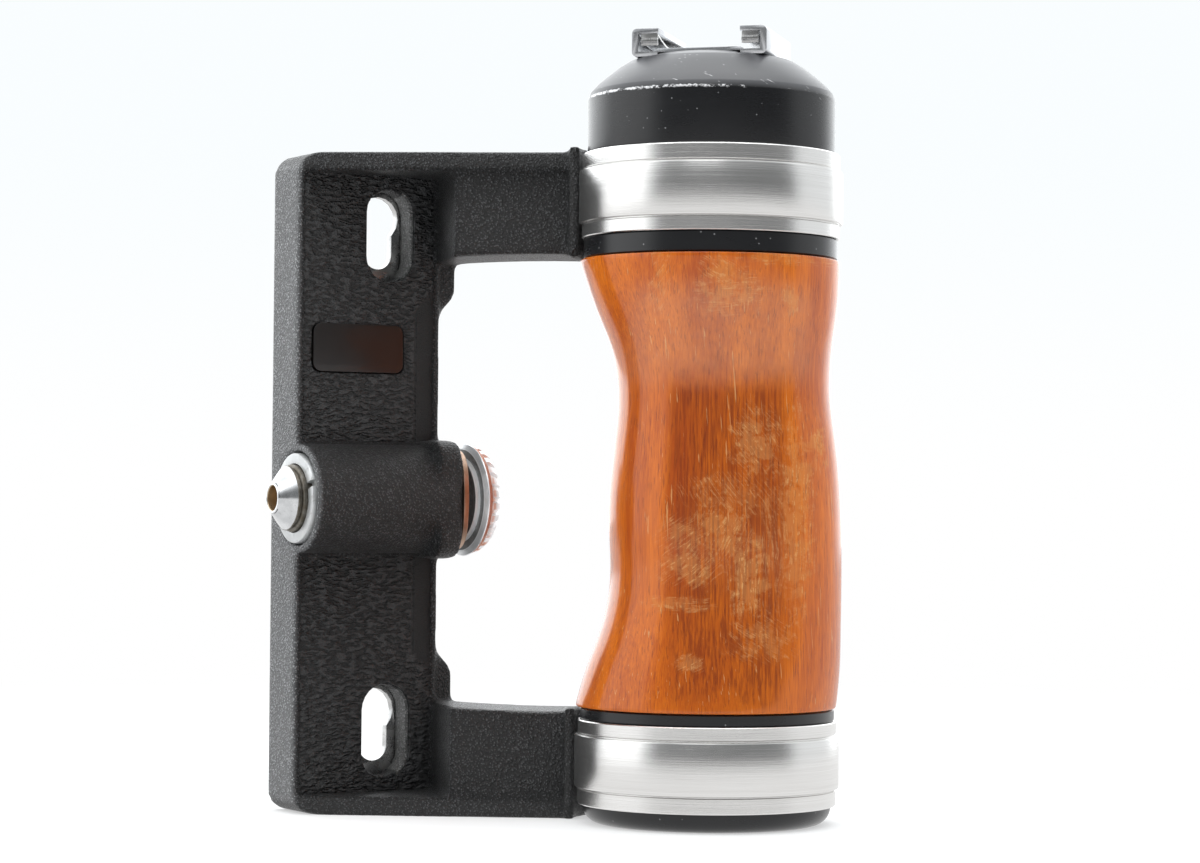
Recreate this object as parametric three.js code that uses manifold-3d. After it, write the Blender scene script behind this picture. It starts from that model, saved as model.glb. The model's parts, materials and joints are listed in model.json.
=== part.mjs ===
// A side grip for a medium-format camera: a shaped wooden handle between two aluminium rings,
// held by a cast bracket whose plate lies along the camera's side. Two keyhole slots hang the
// plate on the camera's lugs, and a clamp screw with a conical nose draws it tight. An accessory
// shoe sits on the handle's domed cap.
//
// Millimetres, +Z up. The origin is the centre of the handle's foot, on the surface it stands on.
// +Y is the back of the plate, which faces the camera, and X runs along the clamp screw.
import * as THREE from "three";
import { mergeVertices } from "three/addons/utils/BufferGeometryUtils.js";
import Module from "manifold-3d";

const wasm = await Module();
wasm.setup();

// ---------------------------------------------------------------- driving dimensions
const GAP = 0.3; // assembly gap between cut or turned surfaces
const CLEAR = 5; // how far a cutting shape runs past the face it opens
const SIDES = 40; // facets round the handle's parts
const SMALL_SIDES = 24; // round the clamp screw's parts
const SCREW_SIDES = 10; // round small screws, pins and their holes
const CORNER_STEPS = 3; // a quarter round takes twice as many facets
const CURVE_STEPS = 8;

// The handle's stack, as heights above the foot.
const FOOT_TOP = 3.1;
const LOWER_RING_TOP = 16.7;
const LOWER_COLLAR_TOP = 18.7;
const WOOD_TOP = 91.2;
const UPPER_COLLAR_TOP = 94.6;
const UPPER_RING_TOP = 108.3;
const CAP_SIDE = 8.9; // height of the cap's straight side
const CAP_DOME = 7; // height of the dome above it
const CAP_SHOULDER = UPPER_RING_TOP + CAP_SIDE;
const CAP_TOP = CAP_SHOULDER + CAP_DOME;
const SHOE_STEP = 0.65; // the shoe's rails rest in flats milled this far below the crown
const SHOE_SEAT = CAP_TOP - SHOE_STEP;

const CAP_R = 20.12;
const CAP_WALL = 2.6;
const CAP_ROOF = 0.7; // the hollow and the rod end this far below the shoulder
// The dome: how far in from the cap's side, at each share of the way up to its crown.
const DOME = [
  [0, 0],
  [0.42, 0.157],
  [1.62, 0.343],
  [4.82, 0.714],
  [6.72, 0.886],
  [9.52, 1],
];
const COLLAR_R = 20.6;
const RING_R = 21.45; // raised middle band
const RING_STEP_R = 20.95; // bands either side of it
const RING_OUTER_BAND = 2.75; // height of the band away from the wood
const RING_INNER_BAND = 2.35; // height of the band next to the wood
const RING_SHOULDER = 0.35;
const RING_BORE_R = 18;
const RING_WEB = 3; // flange of each ring that the wood bears on
const CORE_R = 10; // tube through the wood
const CORE_BORE_R = 7;
const TIE_R = 3; // M6 rod through the tube
const TIE_FOOT = 2.3;
const TIE_HEAD = CAP_SHOULDER - CAP_ROOF;
const FOOT_ROUND = 2.9;
const FOOT_BOSS_TOP = 6.1;
const FOOT_BOSS_R = 11.5;
const SPANNER_HOLE = { r: 1.2, depth: 1.5, offset: 12 }; // two in the foot, to tighten it
const CAP_BOSS_R = 6.5;
const CAP_BOSS_FOOT = 99;
const CAP_HOLLOW_R = CORE_R + 1.5; // inner radius of the cap's ring-shaped hollow
const PAST = 2; // how far a cut or a joined block runs past a surface

// The wood's half widths toward the fingers, toward the palm and to either side, at each share of
// the way up. A section with a higher `square` is fuller at its corners than an ellipse.
const FINGER_SIDE = THREE.MathUtils.degToRad(150);
const WOOD_SECTIONS = [
  { up: 0, finger: 20.6, palm: 20.75, side: 20.5, square: 2 },
  { up: 0.087, finger: 18.8, palm: 21.3, side: 19.7, square: 2.1 },
  { up: 0.183, finger: 16.3, palm: 21.4, side: 18.9, square: 2.2 },
  { up: 0.287, finger: 15.05, palm: 21.45, side: 18.5, square: 2.25 },
  { up: 0.439, finger: 15.55, palm: 21.3, side: 18.5, square: 2.25 },
  { up: 0.57, finger: 14.75, palm: 20.6, side: 18.1, square: 2.25 },
  { up: 0.694, finger: 14.05, palm: 19.4, side: 17.9, square: 2.25 },
  { up: 0.797, finger: 15.1, palm: 19.6, side: 18.4, square: 2.2 },
  { up: 0.901, finger: 18.1, palm: 20.6, side: 19.7, square: 2.1 },
  { up: 1, finger: 20.5, palm: 20.85, side: 20.6, square: 2 },
];

const WOOD_LEVELS = 22; // rings of facets up the wood

// The bracket. The arms leave the plate at an angle and reach the rings.
const PLATE = { left: -55.2, right: -28.7, front: 40, back: 50, top: 109.3 };
const PLATE_CORNER_R = 3.5;
const ROOT_BEND = { start: 4, out: 6.5, in: 7 }; // where the arm root curves in to the plate
const PLATE_RIM = 1.3;
const SKIN_DEPTH = 1; // recess that holds the leatherette
const ARM_TURN = THREE.MathUtils.degToRad(-34);
const ARM_RAIL_FRONT = 2.25; // in the arms' own frame, from here down to ARM_INNER_END
const ARM_FRONT = 3.25;
const ARM_BACK = 20;
const ARM_FRONT_END = -42.3;
const ARM_ROOT = -47.5; // where the arm's near wall reaches the plate's face
const ARM_ROOT_ACROSS = 18.6;
const ARM_BACK_END = -52;
const ARM_INNER_END = -6;
const RAIL = 3.2;
const LOWER_ARM_TOP = 18.3;
const UPPER_ARM_FOOT = 91.6;
const ARM_ARCH = 0.9; // how far each arm's inner edge bows
const SADDLE_R = Math.max(RING_R, RING_STEP_R) + GAP;
const FLANGE_R = SADDLE_R + 1.65;
const FLANGE_FRONT = 1.2;
const FLANGE_LIP = 0.8; // the flange stands this much above the rail
const ROOT_RIGHT = -25.3;
const ROOT_DEPTH = 10.5; // how far each root thickening reaches past its arm

// The clamp screw, along X through the plate.
const SCREW = { y: 39.6, z: 52 };
const BOSS_R = 9;
const BOSS_END = -28.5;
const BOSS_ROUND = 1.8;
const BOSS_FLARE = { start: -32.5, halfY: 8.3, halfZ: 9.9, r: 4.2 }; // squares up its right end
const BOSS_BAND = 9.6; // half height of the stretch of plate without leatherette
const BOSS_BORE_R = 5.9;
const BOSS_MOUTH_R = 6.2;
const BOSS_MOUTH = 3.6;
const NUT_R = 7.45;
const NUT_OUTER = -55.7;
const NUT_INNER = -53.2;
const NUT_SLOT = 1.1;
const NUT_SLOT_DEPTH = 0.9;
const NUT_SLOT_TURN = THREE.MathUtils.degToRad(20);
const NOSE = { tip: -59.6, coneFoot: -57.1, inner: -47.5, tipR: 2.6, coneR: 5.3, bodyR: 5.55 };
const NOSE_HOLE_R = 2;
const NOSE_HOLE = 3;
const SPINDLE_TIP = -50.7;
const SPINDLE_GROOVE = { start: -49.9, end: -48.1, r: 2 };
const NOSE_PIN_R = 0.6;
const NOSE_PIN_HALF = 4.4;
const SCREW_BACK = 2.2; // the farthest that the nose backs into the boss
const BUSH = { start: NOSE.inner + SCREW_BACK + GAP, end: -32.4 };
const GRUB = { x: -39.5, r: 1.5, tip: 45.6, end: 49.4 }; // holds the bush, from the back
const KNOB = { hubStart: -28, pad: -25.6, flange: -24.8, rim: -24.3, groove: -23.8, crown: -23.4, end: -21.1 };
const KNOB_HUB_R = 4.9;
const KNOB_PAD_R = 7.2; // the raised face that the bowed washer bears on
const KNOB_FACE_R = 8.6;
const KNOB_FLANGE_R = 9.5;
const KNOB_GROOVE_R = 8.3;
const KNOB_CROWN_R = 9;
const KNOB_TEETH = 26;
const KNOB_TOOTH = 0.7;
const KNOB_TAPER = 1.3;
const KNOB_PIN_R = 0.75;
const KNOB_PIN_X = -26.6;
const KNOB_PIN_HALF = 4.5;
const SPINDLE_END = -22.3;
const SPRING = { inner: 6.2, outer: 8.6, thick: 0.9, bow: 1.9 };

// The keyhole slots and the steel lug plates behind them.
const LUG_X = -38.2;
const LUG_HEIGHTS = { upper: 96.1, lower: 13.3 };
const SLOT_W = 8.1;
const SLOT_H = 15.3;
const KEYHOLE = { r: 3.7, rise: 3.2, stemW: 5.1, stemDrop: 5.3 }; // heights from the middle of the slot
const LUG_PLATE = { left: -49.9, right: -32.2, half: 9.6, front: 45, thick: 1.5, cornerR: 1.5 };
const LUG_SCREW = { x: -46.8, rise: 6, r: 1.2, headR: 2.3, head: 1.5, tip: 41.9 };

// The nameplate, left bare.
const NAME_PLATE = { x: -43.9, z: 77.1, w: 16, h: 7.5, cornerR: 1.4, front: 40.05 };

// The accessory shoe: a standard 18.7 mm foot slides in under the lips.
const SHOE_TURN = THREE.MathUtils.degToRad(45);
const SHOE_STEP_V = 6.5; // half width of the crown left standing between the flats
const SHOE = { w: 22.2, length: 18.8, wall: 1.1, lip: 4.4, lipThick: 0.8, floor: 1.25, h: 4.55, r: 0.8 };
const SHOE_SCREW = { u: 5.5, v: 3.6, r: 1, headR: 1.6, head: 0.5, length: 3 };
const SHOE_SPRING = { w: 2.8, thick: 0.35, bow: 1.3, length: 17 };

// The screws that hold each ring to its arm, from inside the ring.
const RING_SCREW = { turn: THREE.MathUtils.degToRad(122.3), r: 1.5, headR: 2.3, head: 2.3, tip: 30 };
const RING_SCREW_SPREAD = 2.6; // half the distance between the two screws of a ring

// ---------------------------------------------------------------- solids
const solidOf = (geometry) => {
  const bare = geometry.clone();
  bare.deleteAttribute("normal");
  bare.deleteAttribute("uv");
  const merged = mergeVertices(bare, 1e-4);
  return new wasm.Manifold(
    new wasm.Mesh({
      numProp: 3,
      vertProperties: merged.attributes.position.array,
      triVerts: new Uint32Array(merged.index.array),
    }),
  );
};

const geometryOf = (solid) => {
  const mesh = solid.getMesh();
  const geometry = new THREE.BufferGeometry();
  geometry.setAttribute("position", new THREE.BufferAttribute(mesh.vertProperties, 3));
  geometry.setIndex(new THREE.BufferAttribute(mesh.triVerts, 1));
  return geometry;
};

const joined = (...pieces) => pieces.map(solidOf).reduce((all, piece) => all.add(piece));

const carved = (body, ...tools) =>
  geometryOf(tools.map(solidOf).reduce((left, tool) => left.subtract(tool), body));

// A solid turned about Z from [radius, height] points. The profile may run either way round.
const turned = (profile, segments = SIDES) => {
  const lathe = (points) =>
    new THREE.LatheGeometry(points, segments).rotateX(Math.PI / 2);
  const points = profile.map(([r, z]) => new THREE.Vector2(r, z));
  const geometry = lathe(points);
  return solidOf(geometry).volume() > 0 ? geometry : lathe(points.reverse());
};

const tube = (inner, outer, z0, z1, segments) =>
  turned([[inner, z0], [outer, z0], [outer, z1], [inner, z1], [inner, z0]], segments);

const rod = (r, z0, z1, segments) => turned([[0, z0], [r, z0], [r, z1], [0, z1]], segments);

// Turned about the clamp screw's axis, with heights read as X.
const onScrew = (geometry) =>
  geometry.rotateY(Math.PI / 2).translate(0, SCREW.y, SCREW.z);

const block = (x0, x1, y0, y1, z0, z1) =>
  new THREE.BoxGeometry(x1 - x0, y1 - y0, z1 - z0).translate(
    (x0 + x1) / 2,
    (y0 + y1) / 2,
    (z0 + z1) / 2,
  );

const extruded = (shape, depth, curveSegments = CORNER_STEPS) =>
  new THREE.ExtrudeGeometry(shape, { depth, bevelEnabled: false, curveSegments });

const upright = (shape, z0, z1) => extruded(shape, z1 - z0).translate(0, 0, z0);

// A shape drawn in X and Z, seen from the front, and run back along Y.
const frontal = (shape, y0, y1, curveSegments) =>
  extruded(shape, y1 - y0, curveSegments).rotateX(Math.PI / 2).translate(0, y1, 0);

const roundedRect = (x0, x1, y0, y1, r) => {
  const shape = new THREE.Shape();
  shape.absarc(x1 - r, y0 + r, r, -Math.PI / 2, 0);
  shape.absarc(x1 - r, y1 - r, r, 0, Math.PI / 2);
  shape.absarc(x0 + r, y1 - r, r, Math.PI / 2, Math.PI);
  shape.absarc(x0 + r, y0 + r, r, Math.PI, 1.5 * Math.PI);
  shape.closePath();
  return shape;
};

const obround = (x, z, w, h) => roundedRect(x - w / 2, x + w / 2, z - h / 2, z + h / 2, w / 2 - 1e-3);

// A point of the arms' frame, in plan.
const armPoint = (along, across) =>
  new THREE.Vector2(along, across).rotateAround(new THREE.Vector2(), ARM_TURN);

const material = (color, roughness, metalness) =>
  new THREE.MeshStandardMaterial({ color, roughness, metalness });

const CAST_PAINT = material(0x2b2c2f, 0.85, 0.1);
const LEATHERETTE = material(0x242528, 0.8, 0);
const GLOSS_BLACK = material(0x15110f, 0.25, 0);
const CHROME = material(0xc9cdd0, 0.2, 1);
const STEEL = material(0x9a9c9e, 0.4, 1);
const BRONZE = material(0xb98f70, 0.4, 1);
const BRASS = material(0xb59a55, 0.4, 1);
const ALUMINIUM = material(0xb9bbbd, 0.35, 1);
const BLACK_METAL = material(0x232427, 0.45, 0.4);
const WOOD = material(0xb4561a, 0.35, 0);

const grip = new THREE.Group();
const add = (name, geometry, look, parent = grip) => {
  const mesh = new THREE.Mesh(geometry, look);
  mesh.name = name;
  parent.add(mesh);
  return mesh;
};

// ---------------------------------------------------------------- handle
const woodHeight = (up) => THREE.MathUtils.lerp(LOWER_COLLAR_TOP, WOOD_TOP, up);

// The wood's radius in one direction at one height, from a squared oval with unequal ends.
const sectionCurves = ["finger", "palm", "side", "square"].map((key) => [
  key,
  new THREE.CatmullRomCurve3(
    WOOD_SECTIONS.map((section) => new THREE.Vector3(section[key], woodHeight(section.up), 0)),
    false,
    "centripetal",
  ),
]);

const woodSection = (share) =>
  Object.fromEntries(sectionCurves.map(([key, curve]) => [key, curve.getPoint(share)]));

const woodRadius = (section, angle) => {
  const along = Math.cos(angle - FINGER_SIDE);
  const across = Math.sin(angle - FINGER_SIDE);
  const reach = along > 0 ? section.finger.x : section.palm.x;
  const power = section.square.x;
  const sum = (Math.abs(along) / reach) ** power + (Math.abs(across) / section.side.x) ** power;
  return sum ** (-1 / power);
};

const woodHandle = () => {
  const bore = CORE_R + GAP;
  const rows = Array.from({ length: WOOD_LEVELS + 1 }, (_, i) => woodSection(i / WOOD_LEVELS));
  const outline = rows.map((row) => [RING_R, row.finger.y]);
  const profile = [[bore, LOWER_COLLAR_TOP], ...outline, [bore, WOOD_TOP], [bore, LOWER_COLLAR_TOP]];
  const geometry = turned(profile);
  const place = geometry.attributes.position;
  for (let i = 0; i < place.count; i++) {
    const angle = Math.atan2(place.getY(i), place.getX(i));
    if (Math.hypot(place.getX(i), place.getY(i)) < bore + 1) continue;
    const row = rows.find((r) => Math.abs(r.finger.y - place.getZ(i)) < 1e-4);
    const r = woodRadius(row, angle);
    place.setXY(i, r * Math.cos(angle), r * Math.sin(angle));
  }
  return geometry;
};

// A ring, lying with its web at height `web` and its open end at height `open`.
const ringScrewHeights = (web, open) => {
  const middle = (open + web - Math.sign(web - open) * RING_WEB) / 2;
  return [middle - RING_SCREW_SPREAD, middle + RING_SCREW_SPREAD];
};

const alongRingScrew = (geometry, height) =>
  geometry.rotateY(Math.PI / 2).rotateZ(RING_SCREW.turn).translate(0, 0, height);

const ring = (web, open) => {
  const toWeb = Math.sign(web - open);
  const outer = open + toWeb * RING_OUTER_BAND;
  const inner = web - toWeb * RING_INNER_BAND;
  const body = turned([
    [CORE_R + GAP, web],
    [RING_STEP_R, web],
    [RING_STEP_R, inner],
    [RING_R - RING_SHOULDER, inner],
    [RING_R, inner - toWeb * RING_SHOULDER],
    [RING_R, outer + toWeb * RING_SHOULDER],
    [RING_R - RING_SHOULDER, outer],
    [RING_STEP_R, outer],
    [RING_STEP_R, open],
    [RING_BORE_R, open],
    [RING_BORE_R, web - toWeb * RING_WEB],
    [CORE_R + GAP, web - toWeb * RING_WEB],
    [CORE_R + GAP, web],
  ]);
  const holes = ringScrewHeights(web, open).map((height) =>
    alongRingScrew(rod(RING_SCREW.r + GAP, RING_BORE_R - PAST, RING_R + PAST, SCREW_SIDES), height),
  );
  return carved(solidOf(body), ...holes);
};

const ringScrew = (height) =>
  alongRingScrew(
    turned([
      [0, RING_BORE_R - RING_SCREW.head - GAP],
      [RING_SCREW.headR, RING_BORE_R - RING_SCREW.head - GAP],
      [RING_SCREW.headR, RING_BORE_R - GAP],
      [RING_SCREW.r, RING_BORE_R - GAP],
      [RING_SCREW.r, RING_SCREW.tip],
      [0, RING_SCREW.tip],
    ], SCREW_SIDES),
    height,
  );

const footCap = () => {
  const corner = CAP_R - FOOT_ROUND;
  const round = Array.from({ length: CORNER_STEPS + 1 }, (_, i) => {
    const turn = ((i / CORNER_STEPS) * Math.PI) / 2;
    return [corner + FOOT_ROUND * Math.sin(turn), FOOT_ROUND * (1 - Math.cos(turn))];
  });
  const body = turned([
    [0, 0],
    ...round,
    [CAP_R, FOOT_TOP],
    [FOOT_BOSS_R, FOOT_TOP],
    [FOOT_BOSS_R, FOOT_BOSS_TOP],
    [TIE_R + GAP, FOOT_BOSS_TOP],
    [TIE_R + GAP, TIE_FOOT - GAP],
    [0, TIE_FOOT - GAP],
  ]);
  const spannerHoles = [-1, 1].map((side) =>
    rod(SPANNER_HOLE.r, -CLEAR, SPANNER_HOLE.depth, SCREW_SIDES)
      .translate(side * SPANNER_HOLE.offset, 0, 0),
  );
  return carved(solidOf(body), ...spannerHoles);
};

const shoeScrewSpots = [-1, 1].flatMap((along) =>
  [-1, 1].map((across) => [along * SHOE_SCREW.u, across * SHOE_SCREW.v]),
);

const topCap = () => {
  const wallR = CAP_R - CAP_WALL;
  const roof = CAP_SHOULDER - CAP_ROOF;
  const body = turned([
    [wallR, UPPER_RING_TOP],
    [CAP_R, UPPER_RING_TOP],
    ...DOME.map(([inset, share]) => [
      CAP_R - inset,
      THREE.MathUtils.lerp(CAP_SHOULDER, CAP_TOP, share),
    ]),
    [0, CAP_TOP],
    [0, TIE_HEAD + GAP],
    [TIE_R + GAP, TIE_HEAD + GAP],
    [TIE_R + GAP, CAP_BOSS_FOOT],
    [CAP_BOSS_R, CAP_BOSS_FOOT],
    [CAP_BOSS_R, UPPER_RING_TOP + GAP],
    [CAP_HOLLOW_R, UPPER_RING_TOP + GAP],
    [CAP_HOLLOW_R, roof],
    [wallR, roof - 1],
    [wallR, UPPER_RING_TOP],
  ]);
  const holes = shoeScrewSpots.map(([along, across]) =>
    rod(SHOE_SCREW.r + GAP, CAP_TOP - SHOE_SCREW.length, CAP_TOP + CLEAR, SCREW_SIDES)
      .translate(along, across, 0)
      .rotateZ(SHOE_TURN),
  );
  const reach = CAP_R;
  const flats = [-1, 1].map((side) => {
    const [near, far] = [SHOE_STEP_V * side, reach * side];
    return block(-reach, reach, Math.min(near, far), Math.max(near, far), SHOE_SEAT, CAP_TOP + CLEAR)
      .rotateZ(SHOE_TURN);
  });
  return carved(solidOf(body), ...holes, ...flats);
};

add("base_cap", footCap(), BLACK_METAL);
add("lower_ring", ring(LOWER_RING_TOP, FOOT_TOP), ALUMINIUM);
add("lower_collar", tube(CORE_R + GAP, COLLAR_R, LOWER_RING_TOP, LOWER_COLLAR_TOP), BLACK_METAL);
add("wood_handle", woodHandle(), WOOD);
add("upper_collar", tube(CORE_R + GAP, COLLAR_R, WOOD_TOP, UPPER_COLLAR_TOP), BLACK_METAL);
add("upper_ring", ring(UPPER_COLLAR_TOP, UPPER_RING_TOP), ALUMINIUM);
add("top_cap", topCap(), BLACK_METAL);
add("core_tube", tube(CORE_BORE_R, CORE_R, FOOT_BOSS_TOP, UPPER_RING_TOP, SMALL_SIDES), ALUMINIUM);
add("tie_rod", rod(TIE_R, TIE_FOOT, TIE_HEAD, SMALL_SIDES), STEEL);
for (const [side, web, open] of [
  ["lower", LOWER_RING_TOP, FOOT_TOP],
  ["upper", UPPER_COLLAR_TOP, UPPER_RING_TOP],
]) {
  ringScrewHeights(web, open).forEach((height, i) => {
    add(`${side}_ring_screw_${i + 1}`, ringScrew(height), STEEL);
  });
}

// ---------------------------------------------------------------- bracket
const plateOutline = (right) => {
  const r = PLATE_CORNER_R;
  const shape = new THREE.Shape();
  shape.moveTo(right, 0);
  shape.lineTo(right, PLATE.top);
  shape.absarc(PLATE.left + r, PLATE.top - r, r, Math.PI / 2, Math.PI);
  shape.absarc(PLATE.left + r, r, r, Math.PI, 1.5 * Math.PI);
  shape.closePath();
  return shape;
};

// Each arm's face and its bowed inner edge, drawn along the arm, then trimmed to its plan.
const arm = (outerEdge, innerEdge) => {
  const bow = Math.sign(outerEdge - innerEdge) * 2 * ARM_ARCH;
  const middle = (ARM_ROOT + ARM_INNER_END) / 2;
  const face = new THREE.Shape();
  face.moveTo(ARM_BACK_END, outerEdge);
  face.lineTo(ARM_BACK_END, innerEdge);
  face.lineTo(ARM_ROOT, innerEdge);
  face.quadraticCurveTo(middle, innerEdge + bow, ARM_INNER_END, innerEdge);
  face.lineTo(ARM_INNER_END, outerEdge);
  face.closePath();
  const run = frontal(face, ARM_FRONT, ARM_BACK, CURVE_STEPS).rotateZ(ARM_TURN);
  const plan = new THREE.Shape([
    armPoint(ARM_FRONT_END, ARM_FRONT),
    armPoint(ARM_INNER_END, ARM_FRONT),
    armPoint(ARM_INNER_END, ARM_BACK),
    armPoint(ARM_BACK_END, ARM_BACK),
    armPoint(ARM_ROOT, ARM_ROOT_ACROSS),
  ]);
  const [low, high] = [Math.min(outerEdge, innerEdge), Math.max(outerEdge, innerEdge)];
  return geometryOf(solidOf(run).intersect(solidOf(upright(plan, low - CLEAR, high + CLEAR))));
};

// A web that closes the wedge between the plate and the arms' front line.
const rail = (z0, z1) =>
  upright(
    new THREE.Shape([
      armPoint(ARM_INNER_END, ARM_RAIL_FRONT),
      armPoint(ARM_INNER_END, ARM_BACK),
      armPoint(ARM_BACK_END, ARM_BACK),
      new THREE.Vector2(PLATE.left, PLATE.back - PAST),
      new THREE.Vector2(PLATE.left, PLATE.front),
    ]),
    z0,
    z1,
  );

const flange = (z0, z1) => {
  const band = tube(SADDLE_R, FLANGE_R, z0, z1);
  const reach = block(-FLANGE_R - 1, 0, FLANGE_FRONT, ARM_BACK + 0.6, z0, z1).rotateZ(ARM_TURN);
  return geometryOf(solidOf(band).intersect(solidOf(reach)));
};

// The thickening where an arm meets the plate, with a rounded end past the arm.
const root = (outerEdge, innerEdge) => {
  const away = Math.sign(innerEdge - outerEdge);
  const end = innerEdge + away * ROOT_DEPTH;
  const shape = new THREE.Shape();
  shape.moveTo(PLATE.right - 1, outerEdge);
  shape.lineTo(ROOT_RIGHT, outerEdge);
  shape.lineTo(ROOT_RIGHT, innerEdge + away * ROOT_BEND.start);
  shape.bezierCurveTo(
    ROOT_RIGHT, innerEdge + away * ROOT_BEND.out,
    PLATE.right, innerEdge + away * ROOT_BEND.in,
    PLATE.right, end,
  );
  shape.lineTo(PLATE.right - 1, end);
  shape.closePath();
  return frontal(shape, PLATE.front + 1, PLATE.back, CURVE_STEPS);
};

const bossEnd = [0, 0.35, 0.7, 1].map((share) => {
  const turn = (share * Math.PI) / 2;
  return [
    BOSS_R - BOSS_ROUND * (1 - Math.cos(turn)),
    BOSS_END - BOSS_ROUND * (1 - Math.sin(turn)),
  ];
});

const skinZones = {
  lower: [RAIL, SCREW.z - BOSS_BAND],
  upper: [SCREW.z + BOSS_BAND, PLATE.top - RAIL],
};

const skinShape = ([z0, z1], inset) =>
  roundedRect(PLATE.left + PLATE_RIM + inset, PLATE.right - PLATE_RIM - inset, z0 + inset, z1 - inset, 1);

const bossFlare = () => {
  const { start, halfY, halfZ, r } = BOSS_FLARE;
  return onScrew(upright(roundedRect(-halfZ, halfZ, -halfY, halfY, r), start, BOSS_END));
};

const bracket = () => {
  const upperEnd = PLATE.top + FLANGE_LIP;
  const body = joined(
    frontal(plateOutline(PLATE.right), PLATE.front, PLATE.back),
    arm(0, LOWER_ARM_TOP),
    arm(PLATE.top, UPPER_ARM_FOOT),
    rail(0, RAIL),
    rail(PLATE.top - RAIL, PLATE.top),
    root(0, LOWER_ARM_TOP),
    root(PLATE.top, UPPER_ARM_FOOT),
    onScrew(turned([[0, PLATE.left], [BOSS_R, PLATE.left], ...bossEnd, [0, BOSS_END]])),
    bossFlare(),
  )
    .intersect(solidOf(frontal(plateOutline(CLEAR), -CLEAR, PLATE.back + CLEAR)))
    .add(joined(flange(0, LOWER_ARM_TOP), flange(UPPER_ARM_FOOT, upperEnd)));
  const saddle = rod(SADDLE_R, -CLEAR, upperEnd + CLEAR);
  const bores = [
    rod(NUT_R + GAP, PLATE.left - CLEAR, NUT_INNER, SMALL_SIDES),
    rod(BOSS_BORE_R, PLATE.left - CLEAR, BOSS_END + CLEAR, SMALL_SIDES),
    rod(BOSS_MOUTH_R, BOSS_END - BOSS_MOUTH, BOSS_END + CLEAR, SMALL_SIDES),
  ].map(onScrew);
  const recesses = Object.values(skinZones).map((zone) =>
    frontal(skinShape(zone, 0), PLATE.front - 0.2, PLATE.front + SKIN_DEPTH),
  );
  const lugCuts = Object.values(LUG_HEIGHTS).flatMap((z) => [
    frontal(obround(LUG_X, z, SLOT_W, SLOT_H), PLATE.front - CLEAR, PLATE.back + CLEAR),
    frontal(
      roundedRect(
        LUG_PLATE.left - GAP,
        LUG_PLATE.right + GAP,
        z - LUG_PLATE.half - GAP,
        z + LUG_PLATE.half + GAP,
        LUG_PLATE.cornerR,
      ),
      LUG_PLATE.front,
      PLATE.back + CLEAR,
    ),
    ...[-1, 1].map((side) =>
      backScrewHole(LUG_SCREW.r + GAP, LUG_SCREW.tip - 0.1, LUG_SCREW.x, z + side * LUG_SCREW.rise),
    ),
  ]);
  const ringHoles = [
    ...ringScrewHeights(LOWER_RING_TOP, FOOT_TOP),
    ...ringScrewHeights(UPPER_COLLAR_TOP, UPPER_RING_TOP),
  ].map((z) => alongRingScrew(rod(RING_SCREW.r + GAP, RING_R - 2, RING_SCREW.tip + GAP, SCREW_SIDES), z));
  const grubHole = backScrewHole(GRUB.r + GAP, SCREW.y, GRUB.x, SCREW.z);
  return carved(body, saddle, ...bores, ...recesses, ...lugCuts, ...ringHoles, grubHole);
};

// A round hole along Y, opened from the back of the plate down to y.
const backScrewHole = (r, y, x, z) =>
  rod(r, -PLATE.back - CLEAR, -y, SCREW_SIDES).rotateX(Math.PI / 2).translate(x, 0, z);

const lugScrew = (z) => {
  const back = LUG_PLATE.front + LUG_PLATE.thick;
  return turned([
    [0, -back - LUG_SCREW.head],
    [LUG_SCREW.headR, -back - LUG_SCREW.head],
    [LUG_SCREW.headR, -back],
    [LUG_SCREW.r, -back],
    [LUG_SCREW.r, -LUG_SCREW.tip],
    [0, -LUG_SCREW.tip],
  ], SCREW_SIDES)
    .rotateX(Math.PI / 2)
    .translate(LUG_SCREW.x, 0, z);
};

const lugPlate = (z) => {
  const { left, right, half, front, thick, cornerR } = LUG_PLATE;
  const blank = frontal(roundedRect(left, right, z - half, z + half, cornerR), front, front + thick);
  const { r, rise, stemW, stemDrop } = KEYHOLE;
  const eye = new THREE.Shape().absarc(LUG_X, z + rise, r, 0, 2 * Math.PI);
  const stem = obround(LUG_X, z + (rise - stemDrop) / 2, stemW, rise + stemDrop);
  const holes = [eye, stem].map((shape) =>
    frontal(shape, front - CLEAR, front + thick + CLEAR, CURVE_STEPS),
  );
  const screwHoles = [-1, 1].map((side) =>
    backScrewHole(LUG_SCREW.r + GAP, front - CLEAR, LUG_SCREW.x, z + side * LUG_SCREW.rise),
  );
  return carved(solidOf(blank), ...holes, ...screwHoles);
};

const leatherette = (zone, ...cutouts) =>
  carved(
    solidOf(frontal(skinShape(zone, GAP), PLATE.front + 0.2, PLATE.front + SKIN_DEPTH)),
    ...cutouts.map((shape) => frontal(shape, PLATE.front - CLEAR, PLATE.back)),
  );

const slotInSkin = (z) => obround(LUG_X, z, SLOT_W + 2 * GAP, SLOT_H + 2 * GAP);

const nameShape = (inset) =>
  roundedRect(
    NAME_PLATE.x - NAME_PLATE.w / 2 + inset,
    NAME_PLATE.x + NAME_PLATE.w / 2 - inset,
    NAME_PLATE.z - NAME_PLATE.h / 2 + inset,
    NAME_PLATE.z + NAME_PLATE.h / 2 - inset,
    NAME_PLATE.cornerR,
  );

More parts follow.
